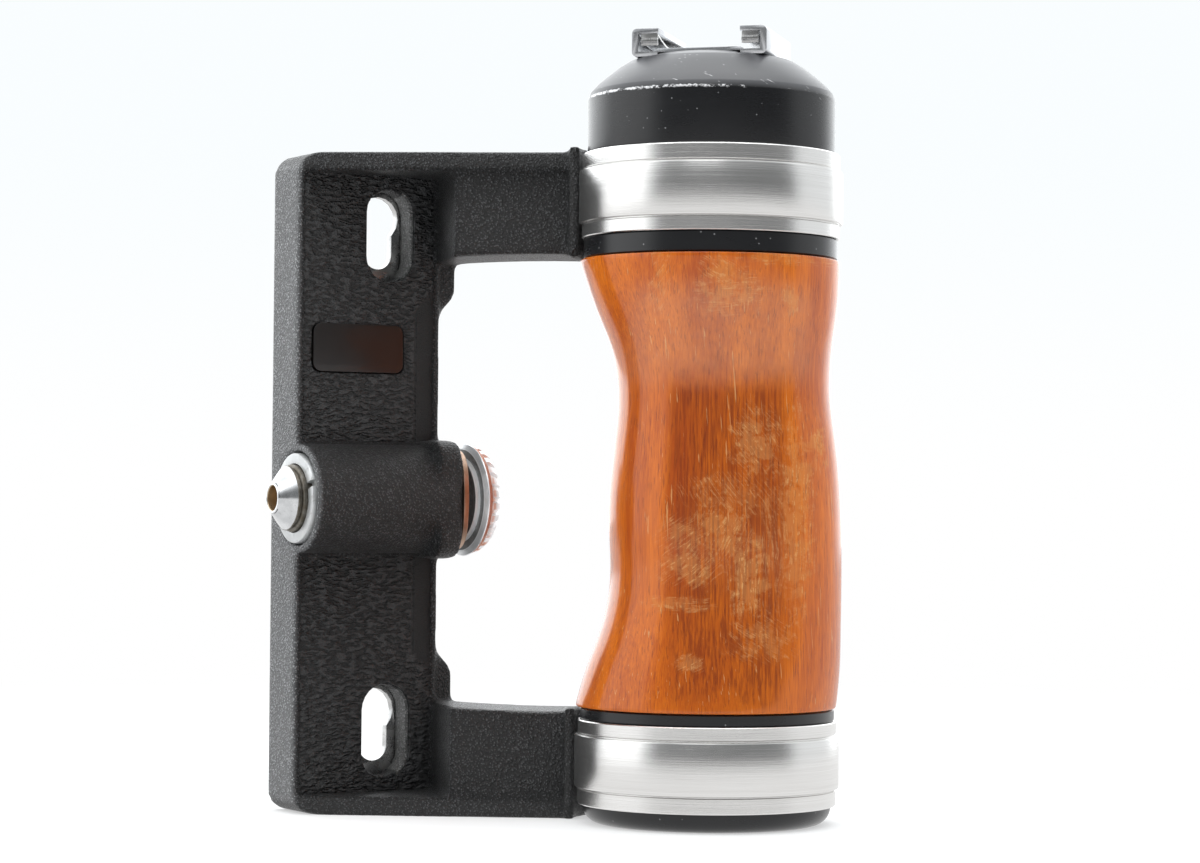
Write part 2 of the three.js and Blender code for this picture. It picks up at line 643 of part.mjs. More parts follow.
add("bracket", bracket(), CAST_PAINT);
add(
  "leatherette_upper",
  leatherette(skinZones.upper, slotInSkin(LUG_HEIGHTS.upper), nameShape(-GAP)),
  LEATHERETTE,
);
add("leatherette_lower", leatherette(skinZones.lower, slotInSkin(LUG_HEIGHTS.lower)), LEATHERETTE);
add("name_plate", frontal(nameShape(0), NAME_PLATE.front, PLATE.front + SKIN_DEPTH), GLOSS_BLACK);
for (const [side, z] of Object.entries(LUG_HEIGHTS)) {
  add(`lug_plate_${side}`, lugPlate(z), CHROME);
  [-1, 1].forEach((step, i) => {
    add(`lug_screw_${side}_${i + 1}`, lugScrew(z + step * LUG_SCREW.rise), STEEL);
  });
}

// ---------------------------------------------------------------- clamp screw
const across = (r, half, x, y) =>
  rod(r, -half, half, SCREW_SIDES).translate(x, SCREW.y + y, SCREW.z);

const nosePinOffset = SPINDLE_GROOVE.r + GAP + NOSE_PIN_R;
const nosePinX = (SPINDLE_GROOVE.start + SPINDLE_GROOVE.end) / 2;

const nose = () => {
  const body = onScrew(
    turned([
      [0, NOSE.tip + NOSE_HOLE],
      [NOSE_HOLE_R, NOSE.tip + NOSE_HOLE],
      [NOSE_HOLE_R, NOSE.tip],
      [NOSE.tipR, NOSE.tip],
      [NOSE.coneR, NOSE.coneFoot],
      [NOSE.bodyR, NOSE.coneFoot],
      [NOSE.bodyR, NOSE.inner],
      [TIE_R + GAP, NOSE.inner],
      [TIE_R + GAP, SPINDLE_TIP - GAP],
      [0, SPINDLE_TIP - GAP],
    ], SMALL_SIDES),
  );
  return carved(solidOf(body), across(NOSE_PIN_R + GAP, NOSE.bodyR + CLEAR, nosePinX, nosePinOffset));
};

const spindle = () => {
  const body = onScrew(
    turned([
      [0, SPINDLE_TIP],
      [TIE_R, SPINDLE_TIP],
      [TIE_R, SPINDLE_GROOVE.start],
      [SPINDLE_GROOVE.r, SPINDLE_GROOVE.start],
      [SPINDLE_GROOVE.r, SPINDLE_GROOVE.end],
      [TIE_R, SPINDLE_GROOVE.end],
      [TIE_R, SPINDLE_END],
      [0, SPINDLE_END],
    ], SMALL_SIDES),
  );
  return carved(solidOf(body), across(KNOB_PIN_R + GAP, TIE_R + CLEAR, KNOB_PIN_X, 0));
};

const knurl = () => {
  const shape = new THREE.Shape();
  for (let i = 0; i < 2 * KNOB_TEETH; i++) {
    const turn = (i * Math.PI) / KNOB_TEETH;
    const r = i % 2 ? KNOB_CROWN_R : KNOB_CROWN_R - KNOB_TOOTH;
    shape[i ? "lineTo" : "moveTo"](r * Math.cos(turn), r * Math.sin(turn));
  }
  shape.closePath();
  return upright(shape, KNOB.crown, KNOB.end);
};

const knob = () => {
  const disc = turned([
    [0, KNOB.hubStart],
    [KNOB_HUB_R, KNOB.hubStart],
    [KNOB_HUB_R, KNOB.pad],
    [KNOB_PAD_R, KNOB.pad],
    [KNOB_PAD_R, KNOB.flange],
    [KNOB_FACE_R, KNOB.flange],
    [KNOB_FLANGE_R, KNOB.rim],
    [KNOB_FLANGE_R, KNOB.groove],
    [KNOB_GROOVE_R, KNOB.groove],
    [KNOB_GROOVE_R, KNOB.crown],
    [0, KNOB.crown],
  ], SMALL_SIDES);
  const taper = turned([
    [0, KNOB.crown - CLEAR],
    [KNOB_CROWN_R + 1, KNOB.crown - CLEAR],
    [KNOB_CROWN_R + 1, KNOB.crown],
    [KNOB_CROWN_R - KNOB_TAPER, KNOB.end],
    [0, KNOB.end],
  ], SMALL_SIDES);
  const crown = geometryOf(solidOf(knurl()).intersect(solidOf(taper)));
  const body = joined(disc, crown);
  const whole = onScrew(geometryOf(body));
  return carved(
    solidOf(whole),
    onScrew(rod(TIE_R + GAP, KNOB.hubStart - CLEAR, SPINDLE_END + GAP, SMALL_SIDES)),
    across(KNOB_PIN_R + GAP, KNOB_HUB_R + 1, KNOB_PIN_X, 0),
  );
};

const slottedNut = () => {
  const body = onScrew(tube(BOSS_BORE_R, NUT_R, NUT_OUTER, NUT_INNER, SMALL_SIDES));
  const slot = block(
    NUT_OUTER - CLEAR, NUT_OUTER + NUT_SLOT_DEPTH,
    -NUT_R - 1, NUT_R + 1,
    -NUT_SLOT / 2, NUT_SLOT / 2,
  )
    .rotateX(-NUT_SLOT_TURN)
    .translate(0, SCREW.y, SCREW.z);
  return carved(solidOf(body), slot);
};

const threadBush = () => {
  const body = onScrew(tube(TIE_R + GAP, BOSS_BORE_R - GAP, BUSH.start, BUSH.end, SMALL_SIDES));
  return carved(solidOf(body), backScrewHole(GRUB.r + GAP, SCREW.y + TIE_R + 1.4, GRUB.x, SCREW.z));
};

const bushScrew = () =>
  rod(GRUB.r, -GRUB.end, -GRUB.tip, SCREW_SIDES).rotateX(Math.PI / 2).translate(GRUB.x, 0, SCREW.z);

// A thin washer bowed about one diameter: its middle touches the boss and its two ends stand off.
const bowedWasher = () => {
  const flat = tube(SPRING.inner, SPRING.outer, 0, SPRING.thick, SMALL_SIDES);
  const place = flat.attributes.position;
  for (let i = 0; i < place.count; i++) {
    const share = place.getX(i) / SPRING.outer;
    place.setZ(i, place.getZ(i) + BOSS_END + SPRING.bow * share * share);
  }
  return onScrew(flat);
};

const clampScrew = new THREE.Group();
grip.add(clampScrew);
add("slotted_nut", slottedNut(), CHROME, clampScrew);
add("nose_cone", nose(), CHROME, clampScrew);
add("nose_pin", across(NOSE_PIN_R, NOSE_PIN_HALF, nosePinX, nosePinOffset), STEEL, clampScrew);
add("spindle", spindle(), STEEL, clampScrew);
add("thread_bush", threadBush(), BRASS, clampScrew);
add("bush_screw", bushScrew(), STEEL, clampScrew);
add("spring_washer", bowedWasher(), BRONZE, clampScrew);
add("knob", knob(), CHROME, clampScrew);
add("knob_pin", across(KNOB_PIN_R, KNOB_PIN_HALF, KNOB_PIN_X, 0), STEEL, clampScrew);

// ---------------------------------------------------------------- accessory shoe
const shoeGroup = new THREE.Group();
shoeGroup.position.z = SHOE_SEAT;
shoeGroup.rotation.z = SHOE_TURN;
grip.add(shoeGroup);

// The rails' section, drawn across the shoe and run along it.
const alongShoe = (shape, length) =>
  extruded(shape, length, 2)
    .rotateX(Math.PI / 2)
    .rotateZ(Math.PI / 2)
    .translate(-length / 2, 0, 0);

const shoeBody = () => {
  const { w, wall, lip, lipThick, floor, h, length, r } = SHOE;
  const half = w / 2;
  const past = -half / 2; // each half runs past the middle, where the two are joined
  const shape = new THREE.Shape();
  shape.moveTo(past, SHOE_STEP);
  shape.lineTo(SHOE_STEP_V + GAP, SHOE_STEP);
  shape.lineTo(SHOE_STEP_V + GAP, 0);
  shape.absarc(half - r, r, r, -Math.PI / 2, 0);
  shape.absarc(half - r, h - r, r, 0, Math.PI / 2);
  shape.lineTo(half - lip, h);
  shape.lineTo(half - lip, h - lipThick);
  shape.lineTo(half - wall, h - lipThick);
  shape.lineTo(half - wall, floor - 0.4);
  shape.lineTo(SHOE_STEP_V + GAP + 0.4, floor - 0.4);
  shape.lineTo(SHOE_STEP_V + GAP, floor);
  shape.lineTo(past, floor);
  shape.closePath();
  const right = alongShoe(shape, length);
  const left = right.clone().rotateZ(Math.PI);
  const holes = shoeScrewSpots.map(([along, across]) =>
    turned([
      [0, -CLEAR],
      [SHOE_SCREW.r + GAP, -CLEAR],
      [SHOE_SCREW.r + GAP, floor - SHOE_SCREW.head],
      [SHOE_SCREW.headR + GAP, floor],
      [SHOE_SCREW.headR + GAP, floor + 1],
      [0, floor + 1],
    ], SCREW_SIDES).translate(along, across, 0),
  );
  return carved(joined(right, left), ...holes);
};

const shoeScrew = () => {
  const top = SHOE.floor - 0.05;
  return turned([
    [0, SHOE.floor - SHOE_SCREW.length],
    [SHOE_SCREW.r, SHOE.floor - SHOE_SCREW.length],
    [SHOE_SCREW.r, SHOE.floor - SHOE_SCREW.head],
    [SHOE_SCREW.headR, top],
    [0, top],
  ], SCREW_SIDES);
};

// A leaf bowed down under each lip, which presses on the foot.
const shoeSpring = () => {
  const { w, thick, bow, length } = SHOE_SPRING;
  const top = SHOE.h - SHOE.lipThick - 0.02;
  const half = length / 2;
  const leaf = new THREE.Shape();
  leaf.moveTo(-half, top);
  leaf.quadraticCurveTo(0, top - 2 * bow, half, top);
  leaf.lineTo(half, top - thick);
  leaf.quadraticCurveTo(0, top - 2 * bow - thick, -half, top - thick);
  leaf.closePath();
  const inner = SHOE.w / 2 - SHOE.wall - GAP - w;
  return frontal(leaf, inner, inner + w, CURVE_STEPS);
};

add("shoe_body", shoeBody(), STEEL, shoeGroup);
["left", "right"].forEach((side, i) => {
  add(`shoe_spring_${side}`, shoeSpring().rotateZ(i * Math.PI), STEEL, shoeGroup);
});
shoeScrewSpots.forEach(([along, across], i) => {
  add(`shoe_screw_${i + 1}`, shoeScrew(), STEEL, shoeGroup).position.set(along, across, 0);
});

export default grip;
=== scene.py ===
# %% [markdown]
# A side hand grip for a medium-format camera: a lacquered wooden handle between two turned
# aluminium rings, a black cap with an accessory shoe, and a cast bracket in wrinkle paint that
# carries a clamp screw. The imported model gives every piece its size and place. This lesson
# dresses those pieces: it rounds what was faceted, and gives each one the finish of the real
# material. The frame is loaded first.

import json
import math

import bpy
from mathutils import Matrix, Vector

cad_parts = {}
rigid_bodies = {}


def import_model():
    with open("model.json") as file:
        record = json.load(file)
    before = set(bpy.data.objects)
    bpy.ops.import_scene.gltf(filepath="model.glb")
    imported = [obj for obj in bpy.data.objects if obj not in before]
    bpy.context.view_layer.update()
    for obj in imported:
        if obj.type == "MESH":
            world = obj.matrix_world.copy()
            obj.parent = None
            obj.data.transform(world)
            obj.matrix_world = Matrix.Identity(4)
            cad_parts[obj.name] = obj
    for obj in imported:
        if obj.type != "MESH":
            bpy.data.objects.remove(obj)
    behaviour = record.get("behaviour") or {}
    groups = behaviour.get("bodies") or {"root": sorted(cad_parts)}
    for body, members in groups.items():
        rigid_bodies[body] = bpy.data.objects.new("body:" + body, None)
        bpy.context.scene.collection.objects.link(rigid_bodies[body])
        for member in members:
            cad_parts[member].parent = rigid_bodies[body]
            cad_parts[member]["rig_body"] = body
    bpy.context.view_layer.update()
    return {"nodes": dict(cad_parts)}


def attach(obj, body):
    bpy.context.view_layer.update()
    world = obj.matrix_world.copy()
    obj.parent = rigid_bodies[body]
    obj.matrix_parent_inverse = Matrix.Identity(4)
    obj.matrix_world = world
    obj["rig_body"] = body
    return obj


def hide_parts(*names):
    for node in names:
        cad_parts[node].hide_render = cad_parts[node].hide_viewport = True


MM = 0.001
SCREW_Y, SCREW_Z = 39.6, 52.0  # the clamp screw's line, in mm
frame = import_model()
nodes = frame["nodes"]

# %% [markdown]
# A scene in Blender is framed before it is dressed. The photograph was taken from the
# finger side, a little below the middle of the handle, with a long lens about half a metre away.
# The three turns are written one after the other: round to the side, up by a degree, and a small
# roll. Depth of field stays off.

# %% The camera
PLACE = Vector((-279.0, -447.8, 51.2)) * MM
TO_THE_SIDE, UPWARD, ROLLED = -30, 91.31, 0.5
LENS = 97.29
camera_data = bpy.data.cameras.new("camera")
camera_data.lens = LENS
camera_data.sensor_fit = "HORIZONTAL"
camera_data.sensor_width = 36
camera_data.clip_start = 0.01
camera = bpy.data.objects.new("camera", camera_data)
bpy.context.scene.collection.objects.link(camera)
turn = Matrix.Rotation(math.radians(TO_THE_SIDE), 4, "Z")
lift = Matrix.Rotation(math.radians(UPWARD), 4, "X")
roll = Matrix.Rotation(math.radians(ROLLED), 4, "Z")
camera.matrix_world = Matrix.Translation(PLACE) @ turn @ lift @ roll
bpy.context.scene.camera = camera
print("camera at", tuple(round(v, 3) for v in camera.matrix_world.translation))

# %% [markdown]
# A material is a small circuit. Written as plain calls it is long and hard to follow, so two
# classes keep it short. A Wire is one output of a node, and + - * / between wires add the Math
# nodes. A Finish is one material: it starts from the shader's own settings, which are the same
# all over the surface, and its methods add the patterns. Positions are in millimetres, measured
# on the object, so a pattern keeps its real size.

# %% Wires
class Wire:
    """One output of a node. Sums and products of wires are Math nodes."""

    def __init__(self, finish, socket):
        self.finish = finish
        self.socket = socket

    def math(self, operation, first, second=0.0):
        return self.finish.node(
            "ShaderNodeMath", {"operation": operation}, {0: first, 1: second}
        )

    def __add__(self, other):
        return self.math("ADD", self, other)

    def __radd__(self, other):
        return self.math("ADD", other, self)

    def __sub__(self, other):
        return self.math("SUBTRACT", self, other)

    def __rsub__(self, other):
        return self.math("SUBTRACT", other, self)

    def __mul__(self, other):
        return self.math("MULTIPLY", self, other)

    def __truediv__(self, other):
        return self.math("DIVIDE", self, other)

    def root(self):
        return self.math("SQRT", self)

    def size(self):
        return self.math("ABSOLUTE", self)

    def at_most(self, other):
        return self.math("MINIMUM", self, other)

    def at_least(self, other):
        return self.math("MAXIMUM", self, other)


print("wires ready")

# %% [markdown]
# The patterns are few: noise for grain and dirt, cells for wrinkles and creases, a soft step that
# turns a pattern into a mask, a blend of two colours under a mask, and a bump that turns a
# height into relief. `strokes` is noise drawn out along one direction, which is what scratches,
# fibres and turning marks all are.

# %% Finishes
class Finish:
    """One material: the shader's fixed settings, and the patterns that vary over the surface."""

    def __init__(self, name, settings):
        self.material = bpy.data.materials.new(name)
        self.material.use_nodes = True
        self.tree = self.material.node_tree
        self.shader = self.tree.nodes["Principled BSDF"]
        for socket, value in settings.items():
            self.shader.inputs[socket].default_value = value
        place = self.node("ShaderNodeTexCoord", output="Object")
        self.point = self.node(
            "ShaderNodeMapping", {}, {"Vector": place, "Scale": (1 / MM, 1 / MM, 1 / MM)}
        )
        self.x, self.y, self.z = (
            self.node("ShaderNodeSeparateXYZ", {}, {0: self.point}, axis) for axis in "XYZ"
        )

    def plug(self, socket, value):
        if isinstance(value, Wire):
            self.tree.links.new(value.socket, socket)
        else:
            socket.default_value = value

    def node(self, kind, settings=None, sockets=None, output=0):
        made = self.tree.nodes.new(kind)
        for setting, value in (settings or {}).items():
            setattr(made, setting, value)
        for socket, value in (sockets or {}).items():
            self.plug(made.inputs[socket], value)
        return Wire(self, made.outputs[output])

    def vector(self, x, y, z):
        return self.node("ShaderNodeCombineXYZ", {}, {0: x, 1: y, 2: z})

    def noise(self, per_mm, detail, point=None, rough=0.5, twist=0.0):
        sockets = {"Scale": per_mm, "Detail": detail, "Roughness": rough, "Distortion": twist}
        return self.node("ShaderNodeTexNoise", {}, {"Vector": point or self.point, **sockets})

    def cells(self, per_mm, point=None):
        sockets = {"Vector": point or self.point, "Scale": per_mm}
        return self.node("ShaderNodeTexVoronoi", {}, sockets, "Distance")

    def strokes(self, across_mm, along_mm, across, along, third=0.0, detail=2.0):
        """Noise that is fine in one direction and long in the other."""
        return self.noise(1.0, detail, self.vector(across * across_mm, along * along_mm, third))

    def step(self, value, low, high):
        sockets = {"Value": value, "From Min": low, "From Max": high}
        return self.node("ShaderNodeMapRange", {"interpolation_type": "SMOOTHSTEP"}, sockets)

    def window(self, value, start, end, soft):
        """1 between start and end, fading over a soft edge."""
        return self.step(value, start - soft, start + soft) * (
            1 - self.step(value, end - soft, end + soft)
        )

    def blend(self, mask, plain, marked):
        settings = {"data_type": "RGBA", "clamp_factor": True}
        return self.node("ShaderNodeMix", settings, {0: mask, 6: plain, 7: marked}, 2)

    def relief(self, height, depth_mm):
        sockets = {"Strength": 1.0, "Distance": depth_mm * MM, "Height": height}
        return self.node("ShaderNodeBump", {}, sockets)

    def drive(self, **patterns):
        """Wire patterns to the shader: colour, roughness, metal, coat or normal."""
        names = {
            "colour": "Base Color",
            "roughness": "Roughness",
            "metal": "Metallic",
            "coat": "Coat Weight",
            "normal": "Normal",
        }
        for what, wire in patterns.items():
            self.plug(self.shader.inputs[names[what]], wire)
        return self.material


print("finishes ready")

# %% [markdown]
# Pieces are modelled as by hand, with Blender's own operators. An operator works on whatever is
# selected, so each helper starts with nothing selected. `turned` is the lathe of this lesson: a
# circle is pulled up the axis ring by ring and scaled to each radius of a profile, which is how
# the rings, the cap, the nose and the knob are cut on the real object.

# %% The lathe
def alone(piece):
    """Select one piece and make it the active one."""
    bpy.ops.object.select_all(action="DESELECT")
    piece.select_set(True)
    bpy.context.view_layer.objects.active = piece


def turned(name, profile, sides, bored=True):
    """Turn a profile of (radius, height) in mm round Z. Bored pieces are rings, others solid."""
    bpy.ops.object.select_all(action="DESELECT")
    radius, height = profile[0]
    bpy.ops.mesh.primitive_circle_add(vertices=sides, radius=radius * MM, fill_type="NOTHING")
    piece = bpy.context.object
    piece.name = name
    bpy.ops.object.mode_set(mode="EDIT")
    bpy.ops.mesh.select_mode(type="VERT")
    bpy.ops.mesh.select_all(action="SELECT")
    bpy.ops.transform.translate(value=(0, 0, height * MM))
    for next_radius, next_height in profile[1:]:
        rise = (0, 0, (next_height - height) * MM)
        bpy.ops.mesh.extrude_region_move(TRANSFORM_OT_translate={"value": rise})
        growth = next_radius / radius
        centre = (0, 0, next_height * MM)
        bpy.ops.transform.resize(value=(growth, growth, 1), center_override=centre)
        radius, height = next_radius, next_height
    if not bored:
        bpy.ops.mesh.edge_face_add()
        bpy.ops.mesh.select_all(action="DESELECT")
    bpy.ops.mesh.select_non_manifold()
    if bored:
        bpy.ops.mesh.bridge_edge_loops()
    else:
        bpy.ops.mesh.edge_face_add()
    bpy.ops.mesh.select_all(action="SELECT")
    bpy.ops.mesh.normals_make_consistent(inside=False)
    bpy.ops.object.mode_set(mode="OBJECT")
    return piece


print("lathe ready")

# %% [markdown]
# Castings and pressed plates have no axis, so they start from the solid itself: a copy of the
# node's mesh, with its loose triangles merged into one skin. Sharp edges are then eased with a
# bevel, because no real edge is perfectly sharp, and an eased edge is what catches the light.
# Holes are cut with a Boolean modifier, as a drill would cut them.

# %% Copies, eased edges and holes
def copied(name, source):
    """A merged copy of a CAD node, as a start for a finer piece."""
    piece = bpy.data.objects.new(name, nodes[source].data.copy())
    bpy.context.scene.collection.objects.link(piece)
    alone(piece)
    bpy.ops.object.mode_set(mode="EDIT")
    bpy.ops.mesh.select_all(action="SELECT")
    bpy.ops.mesh.remove_doubles(threshold=0.002 * MM)
    bpy.ops.mesh.customdata_custom_splitnormals_clear()
    bpy.ops.object.mode_set(mode="OBJECT")
    return piece


def modified(piece, kind, **settings):
    """Add one modifier with its settings, and apply it."""
    alone(piece)
    modifier = piece.modifiers.new(kind.lower(), kind)
    for setting, value in settings.items():
        setattr(modifier, setting, value)
    bpy.ops.object.modifier_apply(modifier=modifier.name)
    return piece


def eased(piece, width, segments, sharper_than):
    """Round every edge sharper than an angle, by a width in mm."""
    angle = math.radians(sharper_than)
    settings = {"segments": segments, "limit_method": "ANGLE", "angle_limit": angle}
    return modified(piece, "BEVEL", width=width * MM, **settings)


def smoothed(piece, sharper_than):
    """Shade round, and keep the edges that are sharper than an angle."""
    alone(piece)
    bpy.ops.object.shade_smooth_by_angle(angle=math.radians(sharper_than))
    return piece


def cut(piece, tool):
    """Take the tool's shape out of the piece."""
    modified(piece, "BOOLEAN", operation="DIFFERENCE", solver="EXACT", object=tool)
    bpy.data.objects.remove(tool)
    return piece


def in_quads(piece, angle):
    """Join the triangles into four-sided faces, where they differ by less than an angle."""
    alone(piece)
    bpy.ops.object.mode_set(mode="EDIT")
    bpy.ops.mesh.select_all(action="SELECT")
    limits = {"face_threshold": math.radians(angle), "shape_threshold": math.radians(angle)}
    bpy.ops.mesh.tris_convert_to_quads(**limits)
    bpy.ops.object.mode_set(mode="OBJECT")
    return piece


def resized(piece, growth, centre):
    """Resize a whole mesh about a centre."""
    alone(piece)
    bpy.ops.object.mode_set(mode="EDIT")
    bpy.ops.mesh.select_all(action="SELECT")
    bpy.ops.transform.resize(value=growth, center_override=centre)
    bpy.ops.object.mode_set(mode="OBJECT")
    return piece


def select_between(piece):
    """Select the edges and faces whose points are all selected."""
    points = piece.data.vertices
    for part in (*piece.data.edges, *piece.data.polygons):
        part.select = all(points[v].select for v in part.vertices)


print("easing and cutting ready")

# %% [markdown]
# A finished piece takes the place of its nodes, rides on the body they move with, and wears its
# finish. Nodes whose shape is right as it is only get a finish.

# %% Putting pieces in place
def fitted(piece, finish, slot, *replaced):
    """The piece takes the place of its nodes, rides on their body and wears its finish."""
    piece.data.materials.clear()
    piece.data.materials.append(finish)
    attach(piece, nodes[replaced[0]]["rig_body"])
    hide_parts(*replaced)
    piece.data.calc_loop_triangles()
    print(piece.name, "triangles:", len(piece.data.loop_triangles))
    return piece


def dressed(finish, *names):
    """CAD nodes that stay get a finish in every material slot."""
    for name in names:
        for material_slot in nodes[name].material_slots:
            material_slot.material = finish


print("placing ready")

# %% [markdown]
# Turned aluminium is bright metal with a fine spiral left by the tool. The marks run round the
# axis, so they depend only on the height along the axis and on the distance from it, added
# together. A little cloudiness in the roughness stands for fingerprints and years of handling.

# %% Turned aluminium
def turned_aluminium():
    f = Finish("turned_aluminium", {"Metallic": 1.0})
    along = f.z + (f.x * f.x + f.y * f.y).root()
    marks = f.noise(1.0, 4, f.vector(along * 5.5, 0.0, 0.0), 0.7)
    bands = f.noise(1.0, 1, f.vector(along * 0.9, 7.0, 0.0))
    handled = f.noise(0.09, 4, twist=0.6)
    angle = f.node("ShaderNodeMath", {"operation": "ARCTAN2"}, {0: f.y, 1: f.x})
    streaks = f.strokes(9.0, 0.12, f.z, angle * 20.0)
    tone = f.step(marks * 0.6 + bands * 0.25 + streaks * 0.15, 0.35, 0.65)
    nick = f.step(f.noise(0.8, 5, rough=0.75), 0.69, 0.72) * 0.5
    colour = f.blend(tone, (0.70, 0.69, 0.675, 1), (0.80, 0.795, 0.785, 1))
    colour = f.blend(nick, colour, (0.42, 0.41, 0.40, 1))
    roughness = 0.14 + handled * 0.09 + marks * 0.12
    relief = f.relief(marks + streaks * 0.5, 0.012)
    return f.drive(colour=colour, roughness=roughness, normal=relief)


TURNED_ALUMINIUM = turned_aluminium()
print(TURNED_ALUMINIUM.name)

# %% [markdown]
# The cap, the collars and the foot are aluminium under a thin black satin paint. Along the cap's
# shoulder the paint has chipped, where the grip was set down and knocked, and bright metal shows.
# The chips are noise kept to a narrow band of heights, so they follow the edge. Above them the
# dome is painted a paler, softer black, a painted sheen of the overhead light, with a few short
# marks.

# %% Satin black
def satin_black(name, chipped=None):
    """Chipped is the lowest and the highest place of the chips, for a piece that has them."""
    f = Finish(name, {"IOR": 1.5})
    fine = f.noise(7.0, 3)
    dust = f.step(f.cells(0.55), 0.085, 0.05)
    cloud = f.noise(0.12, 4, twist=0.4)
    rub = f.strokes(1.4, 0.16, f.z, f.x + f.y * 0.6)
    colour = f.blend(cloud, (0.003, 0.0032, 0.0042, 1), (0.006, 0.0064, 0.008, 1))
    colour = f.blend(dust * 0.5, colour, (0.35, 0.35, 0.36, 1))
    roughness = 0.22 + cloud * 0.07 + rub * 0.05
    more = {"normal": f.relief(fine, 0.004)}
    if chipped is not None:
        low, high = chipped
        ragged = f.noise(1.6, 5, rough=0.75)
        line = f.window(f.z + (ragged - 0.5) * 0.9, low, high, 0.06)
        side = f.step(f.x * 0.87 - f.y * 0.5, 5.0, -2.0)
        front = f.step(f.x * 0.5 + f.y * 0.87, 2.0, -5.0)
        flakes = f.noise(0.9, 6, rough=0.85)
        worn = f.step(flakes + front * side * 0.17, 0.63, 0.66) * line
        hair = f.strokes(2.6, 0.3, f.x + f.z * 1.4, f.z - f.x * 0.5, f.y, 2)
        upper = f.window(f.z, low - 0.5, high + 6.0, 0.5)
        marks = f.step(hair + f.noise(0.35, 2) * 0.25, 0.86, 0.875) * upper
        stray = f.step(f.noise(0.6, 6, rough=0.8), 0.79, 0.8)
        metal = worn.at_least(marks * 0.8).at_least(stray * 0.9)
        colour = f.blend(metal, colour, (0.66, 0.66, 0.67, 1))
        # The dome is painted paler: a painted sheen of the overhead light.
        painted_dome_sheen = f.step(f.z, low, high + 0.7)
        colour = f.blend(painted_dome_sheen * (1 - metal), colour, (0.052, 0.053, 0.058, 1))
        roughness = roughness + metal * 0.08 + painted_dome_sheen * 0.08
        more["metal"] = metal
    return f.drive(colour=colour, roughness=roughness, **more)


CAP_BLACK = satin_black("cap_black", chipped=(117.1, 117.5))
SATIN_BLACK = satin_black("satin_black")
print(CAP_BLACK.name, SATIN_BLACK.name)

# %% [markdown]
# The rings and collars are short lathe work: a raised middle band with two lower bands beside it
# and a fine groove where they meet. The lower ring is the upper one turned over, so one profile
# serves both, written from the end that bears on the wood to the open end.

# %% Rings
CORE = 10.3  # the tube that runs through rings, collars and wood
RING, RING_STEP, RING_BORE = 21.45, 20.95, 18.0
RING_SIDES = 144


def ring_profile(web, open_end):
    """The ring's section, from the web that the wood bears on to the open end."""
    away = math.copysign(1, open_end - web)
    inner = web + away * 2.35
    outer = open_end - away * 2.75
    return [
        (CORE, web),
        (RING_STEP - 0.15, web),
        (RING_STEP, web + away * 0.15),
        (RING_STEP, inner - away * 0.34),
        (RING_STEP - 0.2, inner - away * 0.17),
        (RING_STEP - 0.2, inner),
        (RING - 0.3, inner),
        (RING - 0.08, inner + away * 0.1),
        (RING, inner + away * 0.32),
        (RING, outer - away * 0.32),
        (RING - 0.08, outer - away * 0.1),
        (RING - 0.3, outer),
        (RING_STEP - 0.2, outer),
        (RING_STEP - 0.2, outer + away * 0.17),
        (RING_STEP, outer + away * 0.34),
        (RING_STEP, open_end - away * 0.18),
        (RING_STEP - 0.18, open_end),
        (RING_BORE, open_end),
        (RING_BORE, web + away * 3),
        (CORE, web + away * 3),
    ]


for name, web, open_end in (("lower_ring", 16.7, 3.1), ("upper_ring", 94.6, 108.3)):
    band = turned("turned_" + name, ring_profile(web, open_end), RING_SIDES)
    fitted(smoothed(band, 25), TURNED_ALUMINIUM, "aluminium", name)

# %% [markdown]
# A black collar stands between each ring and the wood. Its edges are broken by a quarter of a
# millimetre, which gives the thin bright line above and below the collar in the photograph.

# %% Collars
COLLAR, COLLAR_EDGE = 20.6, 0.25
for name, foot, top in (("lower_collar", 16.7, 18.7), ("upper_collar", 91.2, 94.6)):
    profile = [
        (CORE, foot),
        (COLLAR - COLLAR_EDGE, foot),
        (COLLAR, foot + COLLAR_EDGE),
        (COLLAR, top - COLLAR_EDGE),
        (COLLAR - COLLAR_EDGE, top),
        (CORE, top),
    ]
    collar = turned("turned_" + name, profile, RING_SIDES)
    fitted(smoothed(collar, 25), SATIN_BLACK, "black_metal", name)

# %% [markdown]
# The cap is one turning: a straight side, a shoulder, and a dome that runs in to a flat crown.
# The dome's points are rounded into each other with a bevel. The accessory shoe's rails sit in
# two flats that are milled into the crown at 45 degrees, so two blocks are cut away.

# %% Top cap
CAP, CAP_SIDE, CAP_DOME, CAP_TOP = 20.12, 117.2, 7.0, 124.2
ROD, ROD_BOSS = 3.3, 11.5
SEAT_DEPTH, SEAT_PLACE, MILL = 0.65, 13.5, (44, 14, 4)  # the two flats and what cuts them
